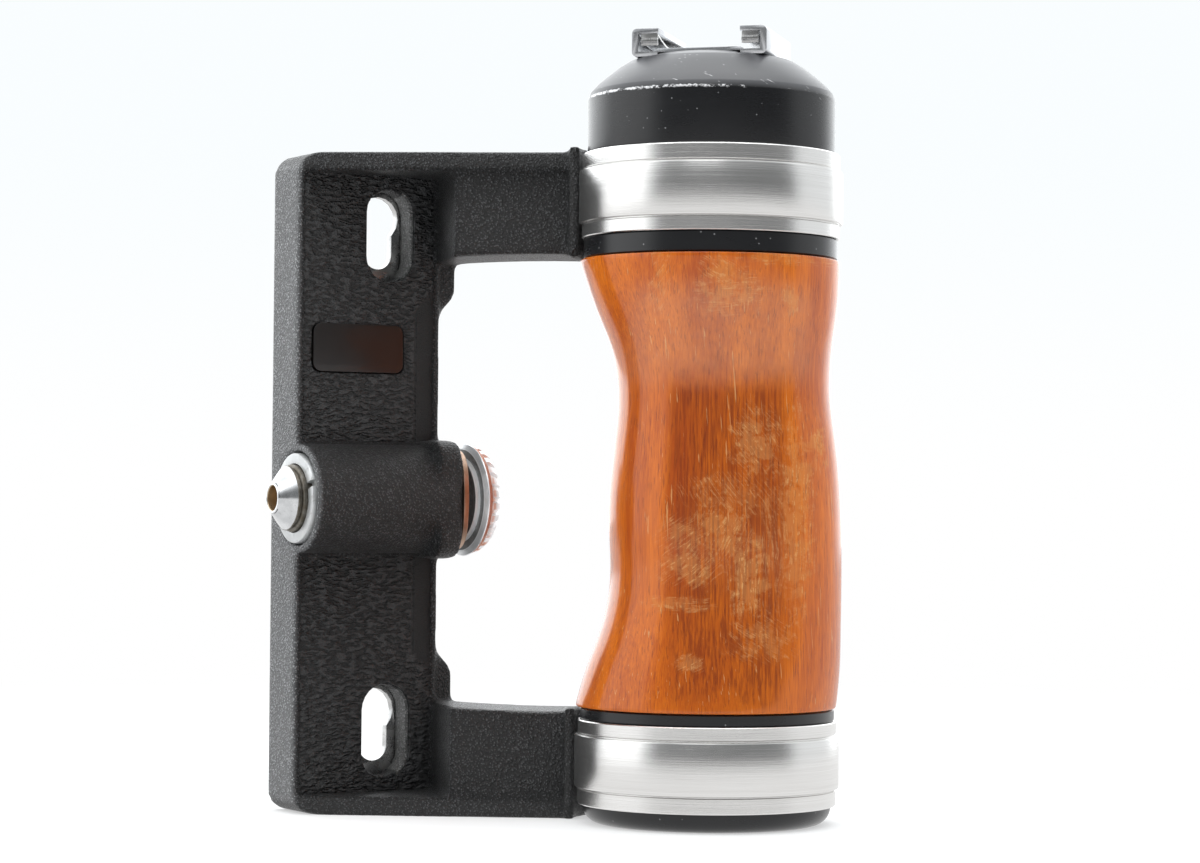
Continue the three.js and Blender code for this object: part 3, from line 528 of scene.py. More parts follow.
# The dome's points: how far in from the side, and how much of its height.
DOME = [(0, 0), (0.42, 0.157), (1.62, 0.343), (4.82, 0.714), (6.72, 0.886), (9.52, 1)]
cap_profile = [
    (ROD, 116.8),
    (ROD, 99),
    (6.5, 99),
    (6.5, 108.6),
    (ROD_BOSS, 108.6),
    (ROD_BOSS, 116.5),
    (17.52, 115.5),
    (17.52, 108.3),
    (CAP - 0.22, 108.3),
    (CAP, 108.52),
    *[(CAP - inset, CAP_SIDE + share * CAP_DOME) for inset, share in DOME],
]
cap = turned("turned_cap", cap_profile, RING_SIDES, bored=False)
eased(cap, 0.45, 3, 9)
for side in (-1, 1):
    bpy.ops.object.select_all(action="DESELECT")
    bpy.ops.mesh.primitive_cube_add(size=1, location=(0, 0, 0))
    flat = bpy.context.object
    place = Vector((0, SEAT_PLACE * side, CAP_TOP - SEAT_DEPTH + MILL[2] / 2)) * MM
    shape = Matrix.LocRotScale(place, None, Vector(MILL) * MM)
    flat.matrix_world = Matrix.Rotation(math.radians(45), 4, "Z") @ shape
    cut(cap, flat)
fitted(smoothed(cap, 25), CAP_BLACK, "black_metal", "top_cap")

# %% [markdown]
# The foot is a shallow black cap with a large rounding on its lower edge, which makes the grip
# stand on a flat disc. Two blind holes take a pin spanner. They are cut, not painted, because the
# grip can be lifted and looked at from below.

# %% Foot
ROUND, STEPS = 2.9, 8
SPANNER_PLACE, SPANNER_HOLE, SPANNER_LENGTH = 12, 1.2, 3
foot_profile = [
    (CAP - ROUND + ROUND * math.sin(turn), ROUND * (1 - math.cos(turn)))
    for turn in (step * math.pi / 2 / STEPS for step in range(STEPS + 1))
]
foot_profile += [(CAP, 3.1), (ROD_BOSS, 3.1), (ROD_BOSS, 6.1), (ROD, 6.1), (ROD, 2.0)]
foot = turned("turned_foot", foot_profile, RING_SIDES, bored=False)
for side in (-1, 1):
    bpy.ops.object.select_all(action="DESELECT")
    bpy.ops.mesh.primitive_cylinder_add(
        vertices=32,
        radius=SPANNER_HOLE * MM,
        depth=SPANNER_LENGTH * MM,
        location=(SPANNER_PLACE * side * MM, 0, 0),
    )
    cut(foot, bpy.context.object)
fitted(smoothed(foot, 25), SATIN_BLACK, "black_metal", "base_cap")

# %% [markdown]
# The handle is a straight-grained hardwood under an orange lacquer. The grain runs up the handle,
# so each layer of it is noise drawn out along Z: broad figure, fibres, and short dark pores.
# Years of use have scuffed the lacquer. A scuff is many short scratches that run one way, so each
# one in the list is a soft ellipse on the front, filled with strokes at its own angle. Where the
# scratches crowd together the coat is gone and the wood is pale and dull.

# %% Lacquered wood
# Each scuff: where it is across the front and how high, its half width and half height in mm,
# the angle of its scratches, and how worn it is.
SCUFFS = (
    (6.8, 61.5, 3.6, 5.5, -52, 1.0),
    (3.6, 53.0, 8.0, 3.4, -52, 0.75),
    (13.6, 50.0, 2.6, 16.0, 90, 1.0),
    (9.6, 45.0, 2.2, 9.0, 90, 0.6),
    (6.0, 39.8, 3.4, 5.4, 90, 1.15),
    (1.0, 47.0, 5.0, 4.4, 62, 0.95),
    (-3.8, 46.5, 4.4, 3.2, 35, 0.9),
    (-3.2, 41.5, 4.6, 3.0, 35, 0.95),
    (-5.2, 35.8, 5.0, 1.3, 2, 0.85),
    (8.2, 30.4, 5.0, 3.4, -35, 0.85),
    (2.4, 85.0, 5.0, 3.2, 2, 0.9),
    (1.0, 88.2, 3.2, 2.4, -35, 0.9),
    (12.2, 84.0, 1.4, 2.4, 90, 1.0),
    (-8.6, 88.0, 1.6, 5.0, 62, 0.8),
    (17.0, 61.0, 1.8, 4.0, 90, 0.9),
    (11.0, 90.4, 8.0, 1.0, 2, 0.8),
    (-3.6, 26.6, 2.2, 1.4, 35, 0.9),
)


def lacquered_wood():
    settings = {"Coat Roughness": 0.12, "Coat IOR": 1.5, "Specular IOR Level": 0.12}
    f = Finish("lacquered_wood", settings)
    across = f.x * 0.866 - f.y * 0.5
    front = f.step(f.x * 0.5 + f.y * 0.866, -2.0, -8.0)
    figure = f.strokes(0.2, 0.025, f.x, f.z, f.y * 0.2, 3)
    fibre = f.strokes(2.6, 0.09, f.x, f.z, f.y * 2.6, 4)
    fine = f.strokes(6.0, 0.3, f.x, f.z, f.y * 6.0, 3)
    pores = f.step(f.strokes(4.4, 0.3, f.x, f.z, f.y * 4.4, 2), 0.6, 0.68)
    tone = f.step(figure * 0.45 + fibre * 0.3 + fine * 0.25, 0.3, 0.7)
    colour = f.blend(tone, (0.33, 0.05, 0.0010, 1), (0.64, 0.155, 0.003, 1))
    colour = f.blend(pores * 0.45, colour, (0.15, 0.024, 0.002, 1))
    blotch = f.noise(0.45, 4, f.vector(across, f.z, 5.0), 0.65, 0.5)
    patchy = 0.15 + f.step(f.noise(1.1, 4, rough=0.7), 0.42, 0.6) * 0.7
    scratch, worn = pores * 0.0, pores * 0.0
    for angle in sorted({scuff[4] for scuff in SCUFFS}):
        c, s = math.cos(math.radians(angle)), math.sin(math.radians(angle))
        along = across * c + f.z * s
        beside = f.z * c - across * s
        sway = f.noise(0.12, 2, f.vector(across, f.z, angle)) * 2.4
        hair = f.strokes(1.5, 0.09, beside + sway, along, angle, 2)
        fuzz = f.strokes(5.0, 0.3, beside + sway * 0.5, along, angle, 2)
        lines = f.step((hair - 0.5).size(), 0.045, 0.02).at_least(f.step(fuzz, 0.52, 0.6) * 0.5)
        for place, height, half_width, half_height, direction, wear in SCUFFS:
            if direction == angle:
                dx, dz = (across - place) / half_width, (f.z - height) / half_height
                reach = (dx * dx + dz * dz) * 0.5 + (0.5 - blotch) * 2.4
                inside = f.step(reach, 0.95, -0.1) * front * wear
                scratch = scratch.at_least(lines * inside * patchy)
                worn = worn.at_least(f.step(inside, 0.45, 1.0))
    stray = f.step(f.strokes(2.4, 0.07, f.x + f.z * 0.08, f.z, f.y * 2.4, 3), 0.67, 0.71) * 0.6
    scuff = ((scratch * 0.85).at_least(worn * 0.26)).at_least(stray)
    # The middle of the front is painted darker: painted shade where the wood faces the dim near
    # side of the room.
    uneven = (f.noise(0.25, 4, rough=0.6) - 0.5) * 5.0
    painted_front_shade = f.window(across + uneven * 0.3, -6.5, 11.5, 1.6)
    painted_front_shade = painted_front_shade * f.window(f.z + uneven * 2.5, 20.0, 71.5, 4.0) * front
    painted_front_shade = painted_front_shade * (0.15 + f.step(fibre, 0.38, 0.62) * 0.6)
    colour = f.blend(painted_front_shade, colour, (0.16, 0.017, 0.0008, 1))
    colour = f.blend(scuff, colour, (0.60, 0.31, 0.115, 1))
    dull = f.window(across, -13.0, 16.0, 2.5) * f.window(f.z, 71.5, 86.0, 3.0) * front
    colour = f.blend(dull * (0.1 + blotch * 0.12), colour, (0.50, 0.36, 0.27, 1))
    haze = f.noise(0.3, 3)
    roughness = 0.5 + haze * 0.1
    coat = (0.65 - worn * 0.4 - scratch * 0.25).at_least(0.0)
    relief = f.relief(fibre * 0.3 + fine * 0.5 - pores * 0.8 - scuff * 0.9, 0.035)
    return f.drive(colour=colour, roughness=roughness, coat=coat, normal=relief)


LACQUERED_WOOD = lacquered_wood()
print(LACQUERED_WOOD.name)

# %% [markdown]
# The wood is carved by eye to fit the fingers, so it has no simple profile. The solid already
# holds its sections. A merged copy is turned back into four-sided faces, the rims are eased as
# with fine sandpaper, and subdivision rounds the rest. Rounding draws the surface in, so the
# handle is then widened by about half a millimetre, mostly on the finger side.

# %% Handle
WIDER, WIDENED_ABOUT = (1.025, 1.036, 1), Vector((13.3, -3.0, 0)) * MM
handle = eased(in_quads(copied("shaped_handle", "wood_handle"), 40), 0.45, 2, 50)
modified(handle, "SUBSURF", levels=2, render_levels=2, boundary_smooth="PRESERVE_CORNERS")
resized(handle, WIDER, WIDENED_ABOUT)
fitted(smoothed(handle, 40), LACQUERED_WOOD, "wood", "wood_handle")

# %% [markdown]
# Wrinkle paint is a black enamel that shrinks as it dries and leaves a fine, even crinkle, which
# hides the marks of the casting below. Two sizes of cells give the grains and the valleys
# between them. The tops of the grains get a painted highlight and the valleys a painted shade,
# with greyer rubbed patches and painted glints on top. The plate's left side and the right walls
# of its two slots are painted lighter, as painted light from the left.

# %% Wrinkle paint
LOWER_SLOT, UPPER_SLOT = (5.2, 21.4), (88.0, 104.2)  # the lowest and the highest place of each


def wrinkle_paint():
    f = Finish("wrinkle_paint", {"IOR": 1.5})
    wobble = f.noise(1.6, 2)
    bent = f.vector(f.x + wobble * 0.5, f.y + wobble * 0.4, f.z - wobble * 0.5)
    grain = f.cells(2.5, bent)
    crumbs = f.noise(3.6, 3, rough=0.75)
    swell = f.noise(0.7, 3)
    height = (1 - grain) * 0.8 + crumbs * 0.8 + swell * 0.2
    # Painted highlight on the grain tops, painted shade in the valleys between them.
    painted_lit_tops = f.step(height, 0.95, 1.2)
    glints = f.step(f.noise(2.9, 4, rough=0.8), 0.6, 0.66)
    # The plate's left side is painted lighter: painted light from the left. The noise patches are
    # real rubbing.
    painted_left_light = f.step(f.x, -54.3, -55.0)
    rubbed_and_left_light = f.step(f.noise(0.07, 3), 0.45, 0.75).at_least(painted_left_light)
    colour = f.blend(painted_lit_tops, (0.011, 0.0113, 0.0117, 1), (0.088, 0.09, 0.093, 1))
    colour = f.blend(rubbed_and_left_light * painted_lit_tops * 0.4, colour, (0.14, 0.143, 0.15, 1))
    colour = f.blend(painted_left_light * (0.2 + painted_lit_tops * 0.6), colour, (0.46, 0.465, 0.475, 1))
    # The right walls of the slots are painted lighter: painted light from the left.
    in_slot = f.window(f.z, *LOWER_SLOT, 0.3).at_least(f.window(f.z, *UPPER_SLOT, 0.3))
    painted_slot_light = f.window(f.x, -35.7, -33.0, 0.2) * f.window(f.y, 40.8, 45.2, 0.2) * in_slot
    colour = f.blend(painted_slot_light * (0.3 + painted_lit_tops * 0.5), colour, (0.45, 0.45, 0.44, 1))
    colour = f.blend(glints * (0.1 + rubbed_and_left_light * 0.2), colour, (0.32, 0.33, 0.34, 1))
    roughness = 0.34 + crumbs * 0.14
    return f.drive(colour=colour, roughness=roughness, normal=f.relief(height, 0.7))


WRINKLE_PAINT = wrinkle_paint()
print(WRINKLE_PAINT.name)

# %% [markdown]
# The bracket is a sand casting, so every corner of it is round, inside and out. Easing so many
# edges one by one would fail where they meet. A voxel remesh rebuilds the copy as an even skin,
# and smoothing then rounds all the corners at once: a little on the whole casting, and more on
# the arms and on the right end of the boss.

# %% Bracket
PLATE_END = -34  # where the arms and the boss leave the plate, in mm along X
casting = copied("cast_bracket", "bracket")
modified(casting, "REMESH", mode="VOXEL", voxel_size=0.5 * MM, adaptivity=0.0)
modified(casting, "SMOOTH", factor=0.5, iterations=3)
soft = casting.vertex_groups.new(name="soft")
for point in casting.data.vertices:
    x, y, z = point.co / MM
    boss_end = x > PLATE_END and abs(z - SCREW_Z) < 16
    arm_end = x > -24 and not boss_end
    arm_root = PLATE_END < x < -20 and (z < 30 or z > 76)
    if boss_end or arm_end or arm_root:
        weight = 0.3 if boss_end else 0.5 if arm_end else min((x - PLATE_END) / 3, 1) * 0.5
        soft.add([point.index], weight, "REPLACE")
modified(casting, "SMOOTH", factor=0.5, iterations=14, vertex_group="soft")
fitted(smoothed(casting, 180), WRINKLE_PAINT, "cast_paint", "bracket")

# %% [markdown]
# Leatherette is cloth with an embossed vinyl face. The emboss copies a coarse hide: long folds
# that run mostly across the panel, with pebbles between them. Noise drawn out across the panel
# gives the folds, and coarser noise bends them. Between the slots a strip along the right edge is
# painted like the casting, with a seam where the cloth ends.

# %% Leatherette
def leatherette():
    f = Finish("leatherette", {"IOR": 1.5})
    wobble = f.noise(0.8, 3, rough=0.65)
    drift = f.noise(0.16, 2)
    rise = f.z + wobble * 0.8 + drift * 1.4
    folds = f.step(f.strokes(1.8, 0.55, rise, f.x, 4.0, 2), 0.4, 0.56)
    pebbles = f.noise(2.2, 3, rough=0.6)
    between = f.step(f.z - f.x, 117.6, 116.4) * f.step(f.z + f.x, -7.6, -6.4)
    bare = f.step(f.x, -33.3, -32.9) * between
    seam = f.window(f.x, -33.5, -33.1, 0.12) * between
    grain = f.noise(3.6, 3, rough=0.75)
    height = (folds * 0.8 + pebbles * 0.6) * (1 - bare) + grain * bare * 0.5 - seam * 0.8
    # Painted highlight on the fold tops, painted shade in the creases and the seam.
    painted_lit_tops = f.step(height, 0.35, 1.1)
    colour = f.blend(painted_lit_tops, (0.018, 0.018, 0.0185, 1), (0.042, 0.043, 0.044, 1))
    return f.drive(colour=colour, roughness=0.36 + pebbles * 0.12, normal=f.relief(height, 1.5))


LEATHERETTE = leatherette()


def stretched(piece, margin):
    """Grow a flat piece by a margin in mm, sideways and up, so that it meets what surrounds it."""
    corners = [Vector(corner) for corner in piece.bound_box]
    size = corners[6] - corners[0]
    growth = (1 + 2 * margin * MM / size.x, 1, 1 + 2 * margin * MM / size.z)
    return resized(piece, growth, sum(corners, Vector()) / 8)


for name in ("leatherette_upper", "leatherette_lower"):
    panel = stretched(eased(copied("laid_" + name, name), 0.3, 3, 40), 0.33)
    fitted(smoothed(panel, 40), LEATHERETTE, "leatherette", name)

# %% [markdown]
# A small glossy black plate with rounded corners is let into the upper leatherette. Gloss needs
# something to show, so a faint cloud and a few hairlines are in its roughness.

# %% Gloss plate
def gloss_black():
    f = Finish("gloss_black", {"Coat Roughness": 0.05, "IOR": 1.5})
    hair = f.step(f.strokes(6.0, 0.25, f.z + f.x * 0.4, f.x, 0.0, 2), 0.62, 0.7)
    cloud = f.noise(0.25, 3)
    colour = f.blend(cloud, (0.006, 0.005, 0.0048, 1), (0.014, 0.0115, 0.011, 1))
    roughness = 0.3 + cloud * 0.1 + hair * 0.1
    return f.drive(colour=colour, roughness=roughness, coat=0.1 + cloud * 0.1)


GLOSS_BLACK = gloss_black()
plate = stretched(eased(copied("gloss_plate", "name_plate"), 0.3, 3, 40), 0.25)
fitted(smoothed(plate, 40), GLOSS_BLACK, "gloss_black", "name_plate")

# %% [markdown]
# The clamp screw is chrome over brass. Chrome is bright and nearly mirror-smooth; age leaves fine
# wiping lines round the axis and grime near the thread. The axis here lies along X, so the marks
# depend on x and on the distance from the screw's centre line. Grime, bare copper and a painted
# shade on the knob's hub are bands along X, and painted highlights on the knob's edges are thin
# rims, each at its own radius.

# %% Chrome, steel, bronze and brass
def bright_metal(
    name, dark, light, rough, marks_depth, grime, bands=(), core=0.0, metal=1.0, highlight_rims=()
):
    """Each band, worn or painted shade, is where it starts and ends along X, its colour, and how
    much rougher it is.
    Inside the core's radius the metal is dull brass. Below 1, metal makes it duller.
    Each rim is the radius of an edge that gets a painted highlight."""
    f = Finish(name, {"Metallic": metal})
    across, up = f.y - SCREW_Y, f.z - SCREW_Z
    radial = (across * across + up * up).root()
    marks = f.noise(1.0, 3, f.vector((f.x + radial) * 4.5, 3.0, 0.0), 0.7)
    cloud = f.noise(0.35, 4, twist=0.5)
    tarnish = f.step(f.noise(1.1, 4, rough=0.7), 0.56, 0.7) * grime
    colour = f.blend(f.step(cloud, 0.3, 0.7), dark, light)
    colour = f.blend(tarnish, colour, (0.10, 0.085, 0.07, 1))
    roughness = rough + cloud * 0.1 + tarnish * 0.3
    ragged = f.noise(0.9, 4, rough=0.7)
    # A band's colour is grime or bare copper, or on the knob's hub a painted shade.
    for start, end, band_colour, rougher in bands:
        band = f.window(f.x + (ragged - 0.5) * 0.1, start, end, 0.04)
        colour = f.blend(band * (0.6 + ragged * 0.7), colour, band_colour)
        roughness = roughness + band * rougher
    # Each rim gets a painted highlight, a thin bright line.
    for rim in highlight_rims:
        line = f.window(radial, rim - 0.1, rim + 0.1, 0.04) * f.step(f.x, -24.2, -24.3)
        colour = f.blend(line * 0.9, colour, (0.88, 0.89, 0.90, 1))
    if core:
        inner = f.step(radial, core + 0.05, core - 0.05)
        colour = f.blend(inner, colour, (0.55, 0.43, 0.28, 1))
        roughness = roughness + inner * 0.35
    relief = f.relief(marks + cloud * 0.5, marks_depth)
    return f.drive(colour=colour, roughness=roughness, normal=relief)


PALE, BRIGHT = (0.56, 0.57, 0.58, 1), (0.70, 0.71, 0.72, 1)
GRIME, SHADED, COPPER = (0.13, 0.115, 0.09, 1), (0.2, 0.205, 0.205, 1), (0.50, 0.25, 0.18, 1)
NOSE_WEAR = ((-57.2, -40.0, GRIME, 0.3),)
# The knob's hub, pad and flange get painted shade; the band at the crown is bare copper.
KNOB_SHADE_AND_WEAR = ((-29.0, -24.7, SHADED, 0.15), (-24.08, -23.42, COPPER, 0.25))
NOSE_CHROME = bright_metal("nose_chrome", PALE, BRIGHT, 0.1, 0.005, 0.15, NOSE_WEAR, 2.12)
KNOB_CHROME = bright_metal(
    "knob_chrome",
    BRIGHT,
    (0.85, 0.86, 0.87, 1),
    0.25,
    0.006,
    0.1,
    KNOB_SHADE_AND_WEAR,
    metal=0.6,
    highlight_rims=(7.15, 8.6),
)
STEEL = bright_metal("steel", (0.42, 0.42, 0.42, 1), (0.60, 0.60, 0.59, 1), 0.22, 0.006, 0.4)
NUT_DARK, NUT_LIGHT = (0.46, 0.47, 0.47, 1), (0.58, 0.59, 0.59, 1)
NUT_STEEL = bright_metal("nut_steel", NUT_DARK, NUT_LIGHT, 0.34, 0.008, 0.3, metal=0.65)
BRONZE = bright_metal("bronze", (0.40, 0.27, 0.19, 1), (0.52, 0.37, 0.28, 1), 0.4, 0.006, 0.3)
BRASS = bright_metal("brass", (0.62, 0.45, 0.20, 1), (0.72, 0.55, 0.27, 1), 0.24, 0.006, 0.3)
print(NOSE_CHROME.name, KNOB_CHROME.name, STEEL.name, NUT_STEEL.name, BRONZE.name, BRASS.name)

# %% [markdown]
# The screw's turned pieces are made upright on the same lathe and then laid along X on the
# boss's centre line. The nose is a drilled cone that locates in the camera's side; a round nut
# with two spanner slots closes the boss behind it.

# %% Nose and nut
def laid_on_screw(piece):
    """Lay an upright turning along X, on the centre line of the boss."""
    piece.rotation_euler = (0, math.pi / 2, 0)
    piece.location = Vector((0, SCREW_Y, SCREW_Z)) * MM
    alone(piece)
    bpy.ops.object.transform_apply(location=True, rotation=True, scale=True)
    return piece


SCREW_SIDES = 96
nose_profile = [
    (1.7, -56.6),
    (2.05, -56.75),
    (2.05, -59.4),
    (2.2, -59.6),
    (2.45, -59.6),
    (2.6, -59.48),
    (2.62, -59.3),
    (5.1, -57.3),
    (5.3, -57.1),
    (5.32, -56.9),
    (5.05, -56.7),
    (5.05, -56.5),
    (5.3, -56.4),
    (5.55, -56.2),
    (5.55, -47.5),
    (3.3, -47.5),
    (3.3, -51.0),
]
nose = laid_on_screw(turned("turned_nose", nose_profile, SCREW_SIDES, bored=False))
fitted(smoothed(nose, 30), NOSE_CHROME, "chrome", "nose_cone")

SLOT_TURN, SLOT = -20, Vector((1.8, 20, 1.1)) * MM
nut_profile = [
    (5.65, -55.6),
    (5.75, -55.7),
    (7.1, -55.7),
    (7.36, -55.6),
    (7.45, -55.35),
    (7.45, -53.2),
    (5.65, -53.2),
]
nut = laid_on_screw(turned("turned_nut", nut_profile, SCREW_SIDES))
bpy.ops.object.select_all(action="DESELECT")
bpy.ops.mesh.primitive_cube_add(size=1)
slot = bpy.context.object
slot.matrix_world = (
    Matrix.Translation(Vector((-55.7, SCREW_Y, SCREW_Z)) * MM)
    @ Matrix.Rotation(math.radians(SLOT_TURN), 4, "X")
    @ Matrix.Diagonal((*SLOT, 1))
)
cut(nut, slot)
fitted(smoothed(nut, 25), NUT_STEEL, "chrome", "slotted_nut")

# %% [markdown]
# The knob has a raised pad and a plain flange towards the boss, and a knurled crown that tapers.
# Between them the chrome has worn through to copper, in a band that its finish knows by x. The
# crown is turned first. The knurl's hollows are then made by selecting the points between the
# ridges, by their angle round the axis, and drawing them in, as a knurling wheel would.

# %% Knob
TEETH, POINTS = 26, 8
CROWN_START, CROWN_INSIDE, CROWN_MIDDLE = -23.35 * MM, 7.4 * MM, -22.5 * MM
HOLLOW = 0.925  # the radius between the ridges, as a share of the radius on them
PIN_PLACE, PIN_HOLE, PIN_LENGTH = -26.6, 0.95, 12
knob_profile = [
    (3.3, -22.0),
    (3.3, -28.0),
    (4.65, -28.0),
    (4.9, -27.75),
    (4.9, -25.6),
    (7.08, -25.6),
    (7.2, -25.48),
    (7.2, -24.8),
    (8.48, -24.8),
    (8.6, -24.74),
    (9.42, -24.34),
    (9.5, -24.22),
    (9.42, -24.1),
    (9.15, -24.06),
    (9.15, -23.44),
    (8.9, -23.4),
    (9.0, -23.25),
    (9.0, -22.75),
    (8.65, -22.1),
    (8.2, -21.55),
    (7.6, -21.15),
    (6.9, -21.1),
    (6.5, -21.35),
]
knob = turned("turned_knob", knob_profile, TEETH * POINTS, bored=False)
for point in knob.data.vertices:
    x, y, z = point.co
    on_crown = z > CROWN_START and math.hypot(x, y) > CROWN_INSIDE
    point.select = on_crown and math.cos(math.atan2(y, x) * TEETH) < -0.2
select_between(knob)
alone(knob)
bpy.ops.object.mode_set(mode="EDIT")
bpy.ops.transform.resize(value=(HOLLOW, HOLLOW, 1), center_override=(0, 0, CROWN_MIDDLE))
bpy.ops.object.mode_set(mode="OBJECT")
laid_on_screw(knob)
bpy.ops.object.select_all(action="DESELECT")
bpy.ops.mesh.primitive_cylinder_add(
    vertices=24,
    radius=PIN_HOLE * MM,
    depth=PIN_LENGTH * MM,
    location=Vector((PIN_PLACE, SCREW_Y, SCREW_Z)) * MM,
)
cut(knob, bpy.context.object)
fitted(smoothed(knob, 30), KNOB_CHROME, "chrome", "knob")

# %% [markdown]
# Under the knob lies a thin bronze washer, bowed so that it acts as a spring and keeps the screw
# from rattling. Its copy is subdivided, which turns its facets into a true bow.

# %% Washer
washer = eased(in_quads(copied("bowed_washer", "spring_washer"), 60), 0.08, 2, 50)
modified(washer, "SUBSURF", levels=2, render_levels=2)
fitted(smoothed(washer, 40), BRONZE, "bronze", "spring_washer")

# %% [markdown]
# The plates behind the keyhole slots are pressed steel, rounded over at the rim where the
# camera's lugs slide in. The shoe on the cap is a thicker pressing in grey satin plate, with two
# leaf springs under its lips. All are copies of their solids with eased edges. The satin plate is
# brushed along its rails, and is a little whiter where it is worn.

# %% Satin plate
def satin_plate():
    f = Finish("satin_plate", {"Metallic": 1.0})
    brushed = f.strokes(6.0, 0.35, f.x * 0.7 - f.y * 0.7, f.x * 0.7 + f.y * 0.7, f.z * 3.0, 3)
    cloud = f.noise(0.3, 4, twist=0.5)
    worn = f.step(f.noise(0.4, 3, rough=0.6), 0.55, 0.7)
    colour = f.blend(cloud, (0.52, 0.53, 0.55, 1), (0.66, 0.67, 0.69, 1))
    colour = f.blend(worn * 0.5, colour, (0.74, 0.75, 0.76, 1))
    roughness = 0.24 + brushed * 0.05
    return f.drive(colour=colour, roughness=roughness, normal=f.relief(brushed, 0.001))


SATIN_PLATE = satin_plate()
print(SATIN_PLATE.name)

# %% [markdown]
# Each copy is named after its solid. A leaf spring's near end is folded down by pulling its end
# face out in small steps, as the press would bend it.

# %% Plates, shoe and springs
for name in ("lug_plate_upper", "lug_plate_lower"):
    fitted(smoothed(eased(copied("pressed_" + name, name), 0.3, 3, 40), 40), STEEL, "steel", name)
shoe = eased(copied("pressed_shoe", "shoe_body"), 0.14, 2, 40)
fitted(smoothed(shoe, 40), SATIN_PLATE, "shoe_plate", "shoe_body")


# Just inside the end face, just above the lower face, and the tab's steps of (outward, down) mm.
LEAF_END, LEAF_UNDER = 8.45 * MM, 126.95 * MM
TAB = ((0.0, 0.45), (0.2, 0.08), (0.0, 0.55), (-0.2, 0.08), (0.0, 0.4))


def turned_down_end(leaf, steps):
    """Fold the leaf's near end down: a corner first, then a tab in steps of (outward, down) mm."""
    outward = Vector((-1, -1, 0)).normalized()
    for corner in (True, False):
        for point in leaf.data.vertices:
            at_end = point.co.dot(outward) > LEAF_END
            point.select = at_end and (corner or point.co.z < LEAF_UNDER)
        select_between(leaf)
        alone(leaf)
        bpy.ops.object.mode_set(mode="EDIT")
        for out, down in [(0.45, 0.0)] if corner else steps:
            move = (outward * out + Vector((0, 0, -down))) * MM
            bpy.ops.mesh.extrude_region_move(TRANSFORM_OT_translate={"value": move})
        bpy.ops.object.mode_set(mode="OBJECT")
    return leaf


for name in ("shoe_spring_left", "shoe_spring_right"):
    leaf = turned_down_end(copied("leaf_" + name, name), TAB)
    eased(leaf, 0.05, 2, 50)
    fitted(smoothed(leaf, 40), STEEL, "steel", name)

# %% [markdown]
# What is left is inside the handle or behind the bracket: the tube, the rod, the spindle, the
# bush and the small screws. Their solids are right as they are, and they get their metals.

# %% Inner pieces
for name in sorted(nodes):
    if name.endswith(("tube", "rod")):
        dressed(TURNED_ALUMINIUM if name == "core_tube" else STEEL, name)
    elif "screw" in name or name.endswith("pin") or name == "spindle":
        dressed(STEEL, name)
dressed(BRASS, "thread_bush")

# %% [markdown]
# The photograph is a high-key picture: a white sweep behind and below, soft light from all
# sides, and only the camera's side a little darker, which the rings and the cap show as a dim
# stripe down their middle. The floor is pale and keeps a soft shadow. The camera sees it half
# white near the object and wholly white farther off, and polished metal mirrors it as white.

# %% Floor
def pale_floor():
    f = Finish("pale_floor", {"Roughness": 0.9, "Specular IOR Level": 0.1})
    speck = f.noise(0.05, 2)
    f.drive(colour=f.blend(speck, (0.87, 0.88, 0.885, 1), (0.90, 0.905, 0.91, 1)))
    sees = f.node("ShaderNodeLightPath", output="Is Camera Ray")
    mirrors = f.node("ShaderNodeLightPath", output="Is Glossy Ray")
    glow = f.node("ShaderNodeEmission", {}, {"Color": (1.0, 1.0, 1.0, 1), "Strength": 1.0})
    far = f.step((f.x * f.x + f.y * f.y).root(), 90.0, 420.0)
    share = (sees * (0.5 + far * 0.5) + mirrors).at_most(1.0)
    mixed = f.node("ShaderNodeMixShader", {}, {0: share, 1: Wire(f, f.shader.outputs[0]), 2: glow})
    f.plug(f.tree.nodes["Material Output"].inputs["Surface"], mixed)
    return f.material


bpy.ops.object.select_all(action="DESELECT")
bpy.ops.mesh.primitive_plane_add(size=6, location=(0, 0, 0))
floor = bpy.context.object
floor.name = "floor"
floor.data.materials.append(pale_floor())
print("floor", tuple(floor.dimensions))

# %% [markdown]
# The world stands for the white room. Its light depends on the direction in which a ray leaves,
# which doesn't move with the camera: bright at the sides and overhead, brighter on the far side,
# and dim where the photographer stood. The wall that is seen behind turns to plain white towards
# the floor, so no horizon shows.

# %% World
world = bpy.data.worlds.new("white_room")
bpy.context.scene.world = world
world.use_nodes = True
room = world.node_tree


def room_node(kind, output=0, settings=None, **sockets):
    """Add a node. A socket is given by its name, or by its number after an underscore."""
    made = room.nodes.new(kind)
    for setting, value in (settings or {}).items():
        setattr(made, setting, value)
    for socket, value in sockets.items():
        numbered = socket[1:].isdigit()
        where = made.inputs[int(socket[1:]) if numbered else socket.replace("_", " ")]
        if isinstance(value, bpy.types.NodeSocket):
            room.links.new(value, where)
        else:
            where.default_value = value
    return made.outputs[output]


def room_step(value, low, high, **ends):
    """A soft step from 0 to 1, or between the two ends that are given."""
    smooth = {"interpolation_type": "SMOOTHSTEP"}
    return room_node(
        "ShaderNodeMapRange", 0, smooth, Value=value, From_Min=low, From_Max=high, **ends
    )


def room_sum(first, second):
    return room_node("ShaderNodeMath", 0, {"operation": "ADD"}, _0=first, _1=second)


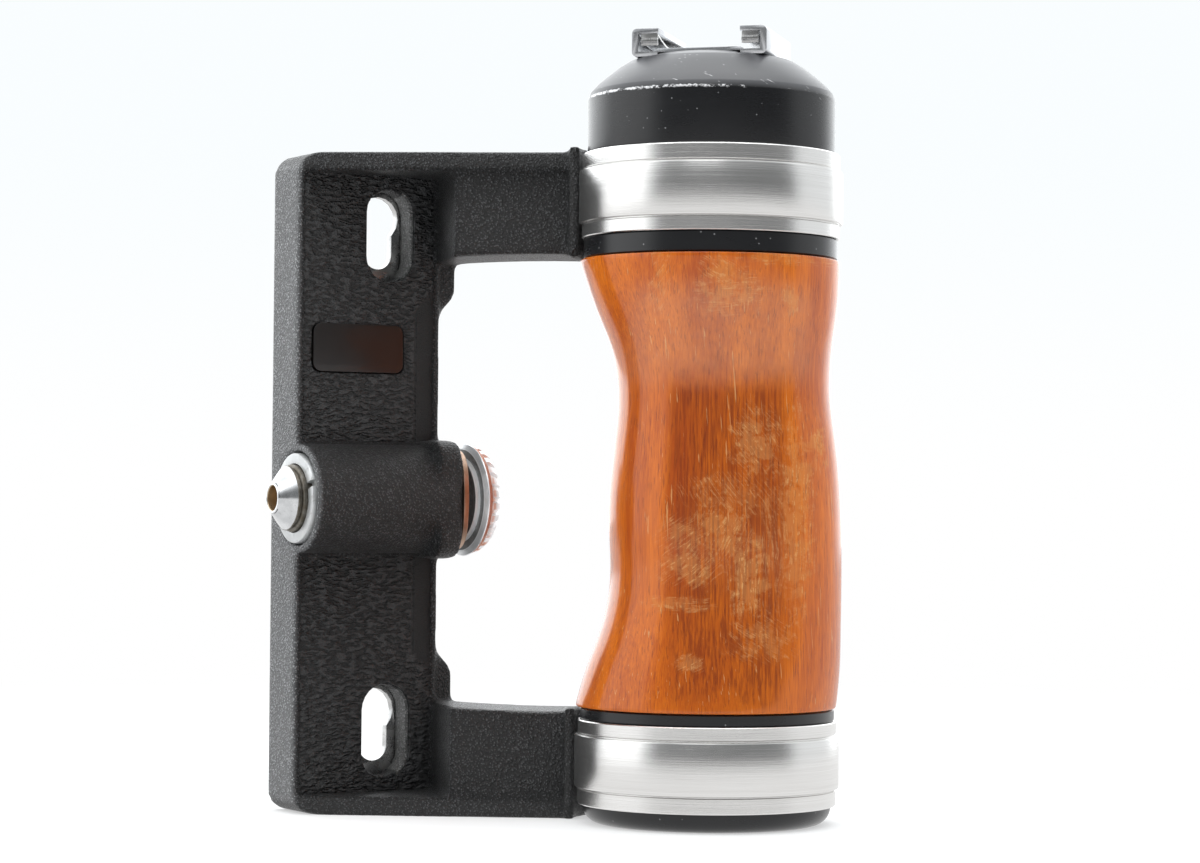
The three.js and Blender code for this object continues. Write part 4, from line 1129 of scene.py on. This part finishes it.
NEAR_SIDE = (-0.309, -0.951, 0.0)
leaving = room_node("ShaderNodeTexCoord", "Generated")
dot = {"operation": "DOT_PRODUCT"}
nearness = room_node("ShaderNodeVectorMath", "Value", dot, _0=leaving, _1=NEAR_SIDE)
height = room_node("ShaderNodeSeparateXYZ", "Z", _0=leaving)
sides = room_step(nearness, 0.32, 0.52, To_Min=0.98, To_Max=0.2)
behind = room_step(nearness, -0.35, -0.8, To_Max=1.4)
overhead = room_step(height, 0.3, 0.7, To_Max=0.7)
light = room_sum(room_sum(sides, behind), overhead)
sky = room_node("ShaderNodeBackground", Color=(0.96, 0.985, 1.0, 1), Strength=light)
wall = room_step(height, 0.0, 0.12)
WHITE, COOL_WHITE = (1.0, 1.0, 1.0, 1), (0.95, 0.985, 1.0, 1)
tint = room_node("ShaderNodeMix", 2, {"data_type": "RGBA"}, _0=wall, _6=WHITE, _7=COOL_WHITE)
paper = room_node("ShaderNodeBackground", Color=tint, Strength=1.0)
seen = room_node("ShaderNodeLightPath", "Is Camera Ray")
mixed = room_node("ShaderNodeMixShader", _0=seen, _1=sky, _2=paper)
room.links.new(mixed, room.nodes["World Output"].inputs["Surface"])
print("world ready")

# %% [markdown]
# Three soft boxes shape the object: a weak one above the camera, one at the left for the bright
# edges of the rings, and a stronger one overhead, which rakes down over the wrinkle paint.

# %% Lamps
def soft_box(name, place, size, watts):
    """A square soft box that faces the middle of the object."""
    data = bpy.data.lights.new(name, "AREA")
    data.shape, data.size, data.size_y, data.energy = "RECTANGLE", size, size, watts
    lamp = bpy.data.objects.new(name, data)
    bpy.context.scene.collection.objects.link(lamp)
    lamp.location = place
    lamp.rotation_euler = (MIDDLE - Vector(place)).to_track_quat("-Z", "Y").to_euler()


MIDDLE = Vector((-0.01, 0.01, 0.06))
soft_box("key_box", (-0.55, -0.7, 0.85), 0.6, 0.9)
soft_box("left_box", (-0.9, 0.35, 0.35), 0.8, 1.4)
soft_box("top_box", (-0.05, -0.05, 0.9), 0.8, 3.5)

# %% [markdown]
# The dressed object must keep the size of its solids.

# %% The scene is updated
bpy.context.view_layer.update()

# %% The end
scene = bpy.context.scene
scene.view_settings.view_transform = "Standard"
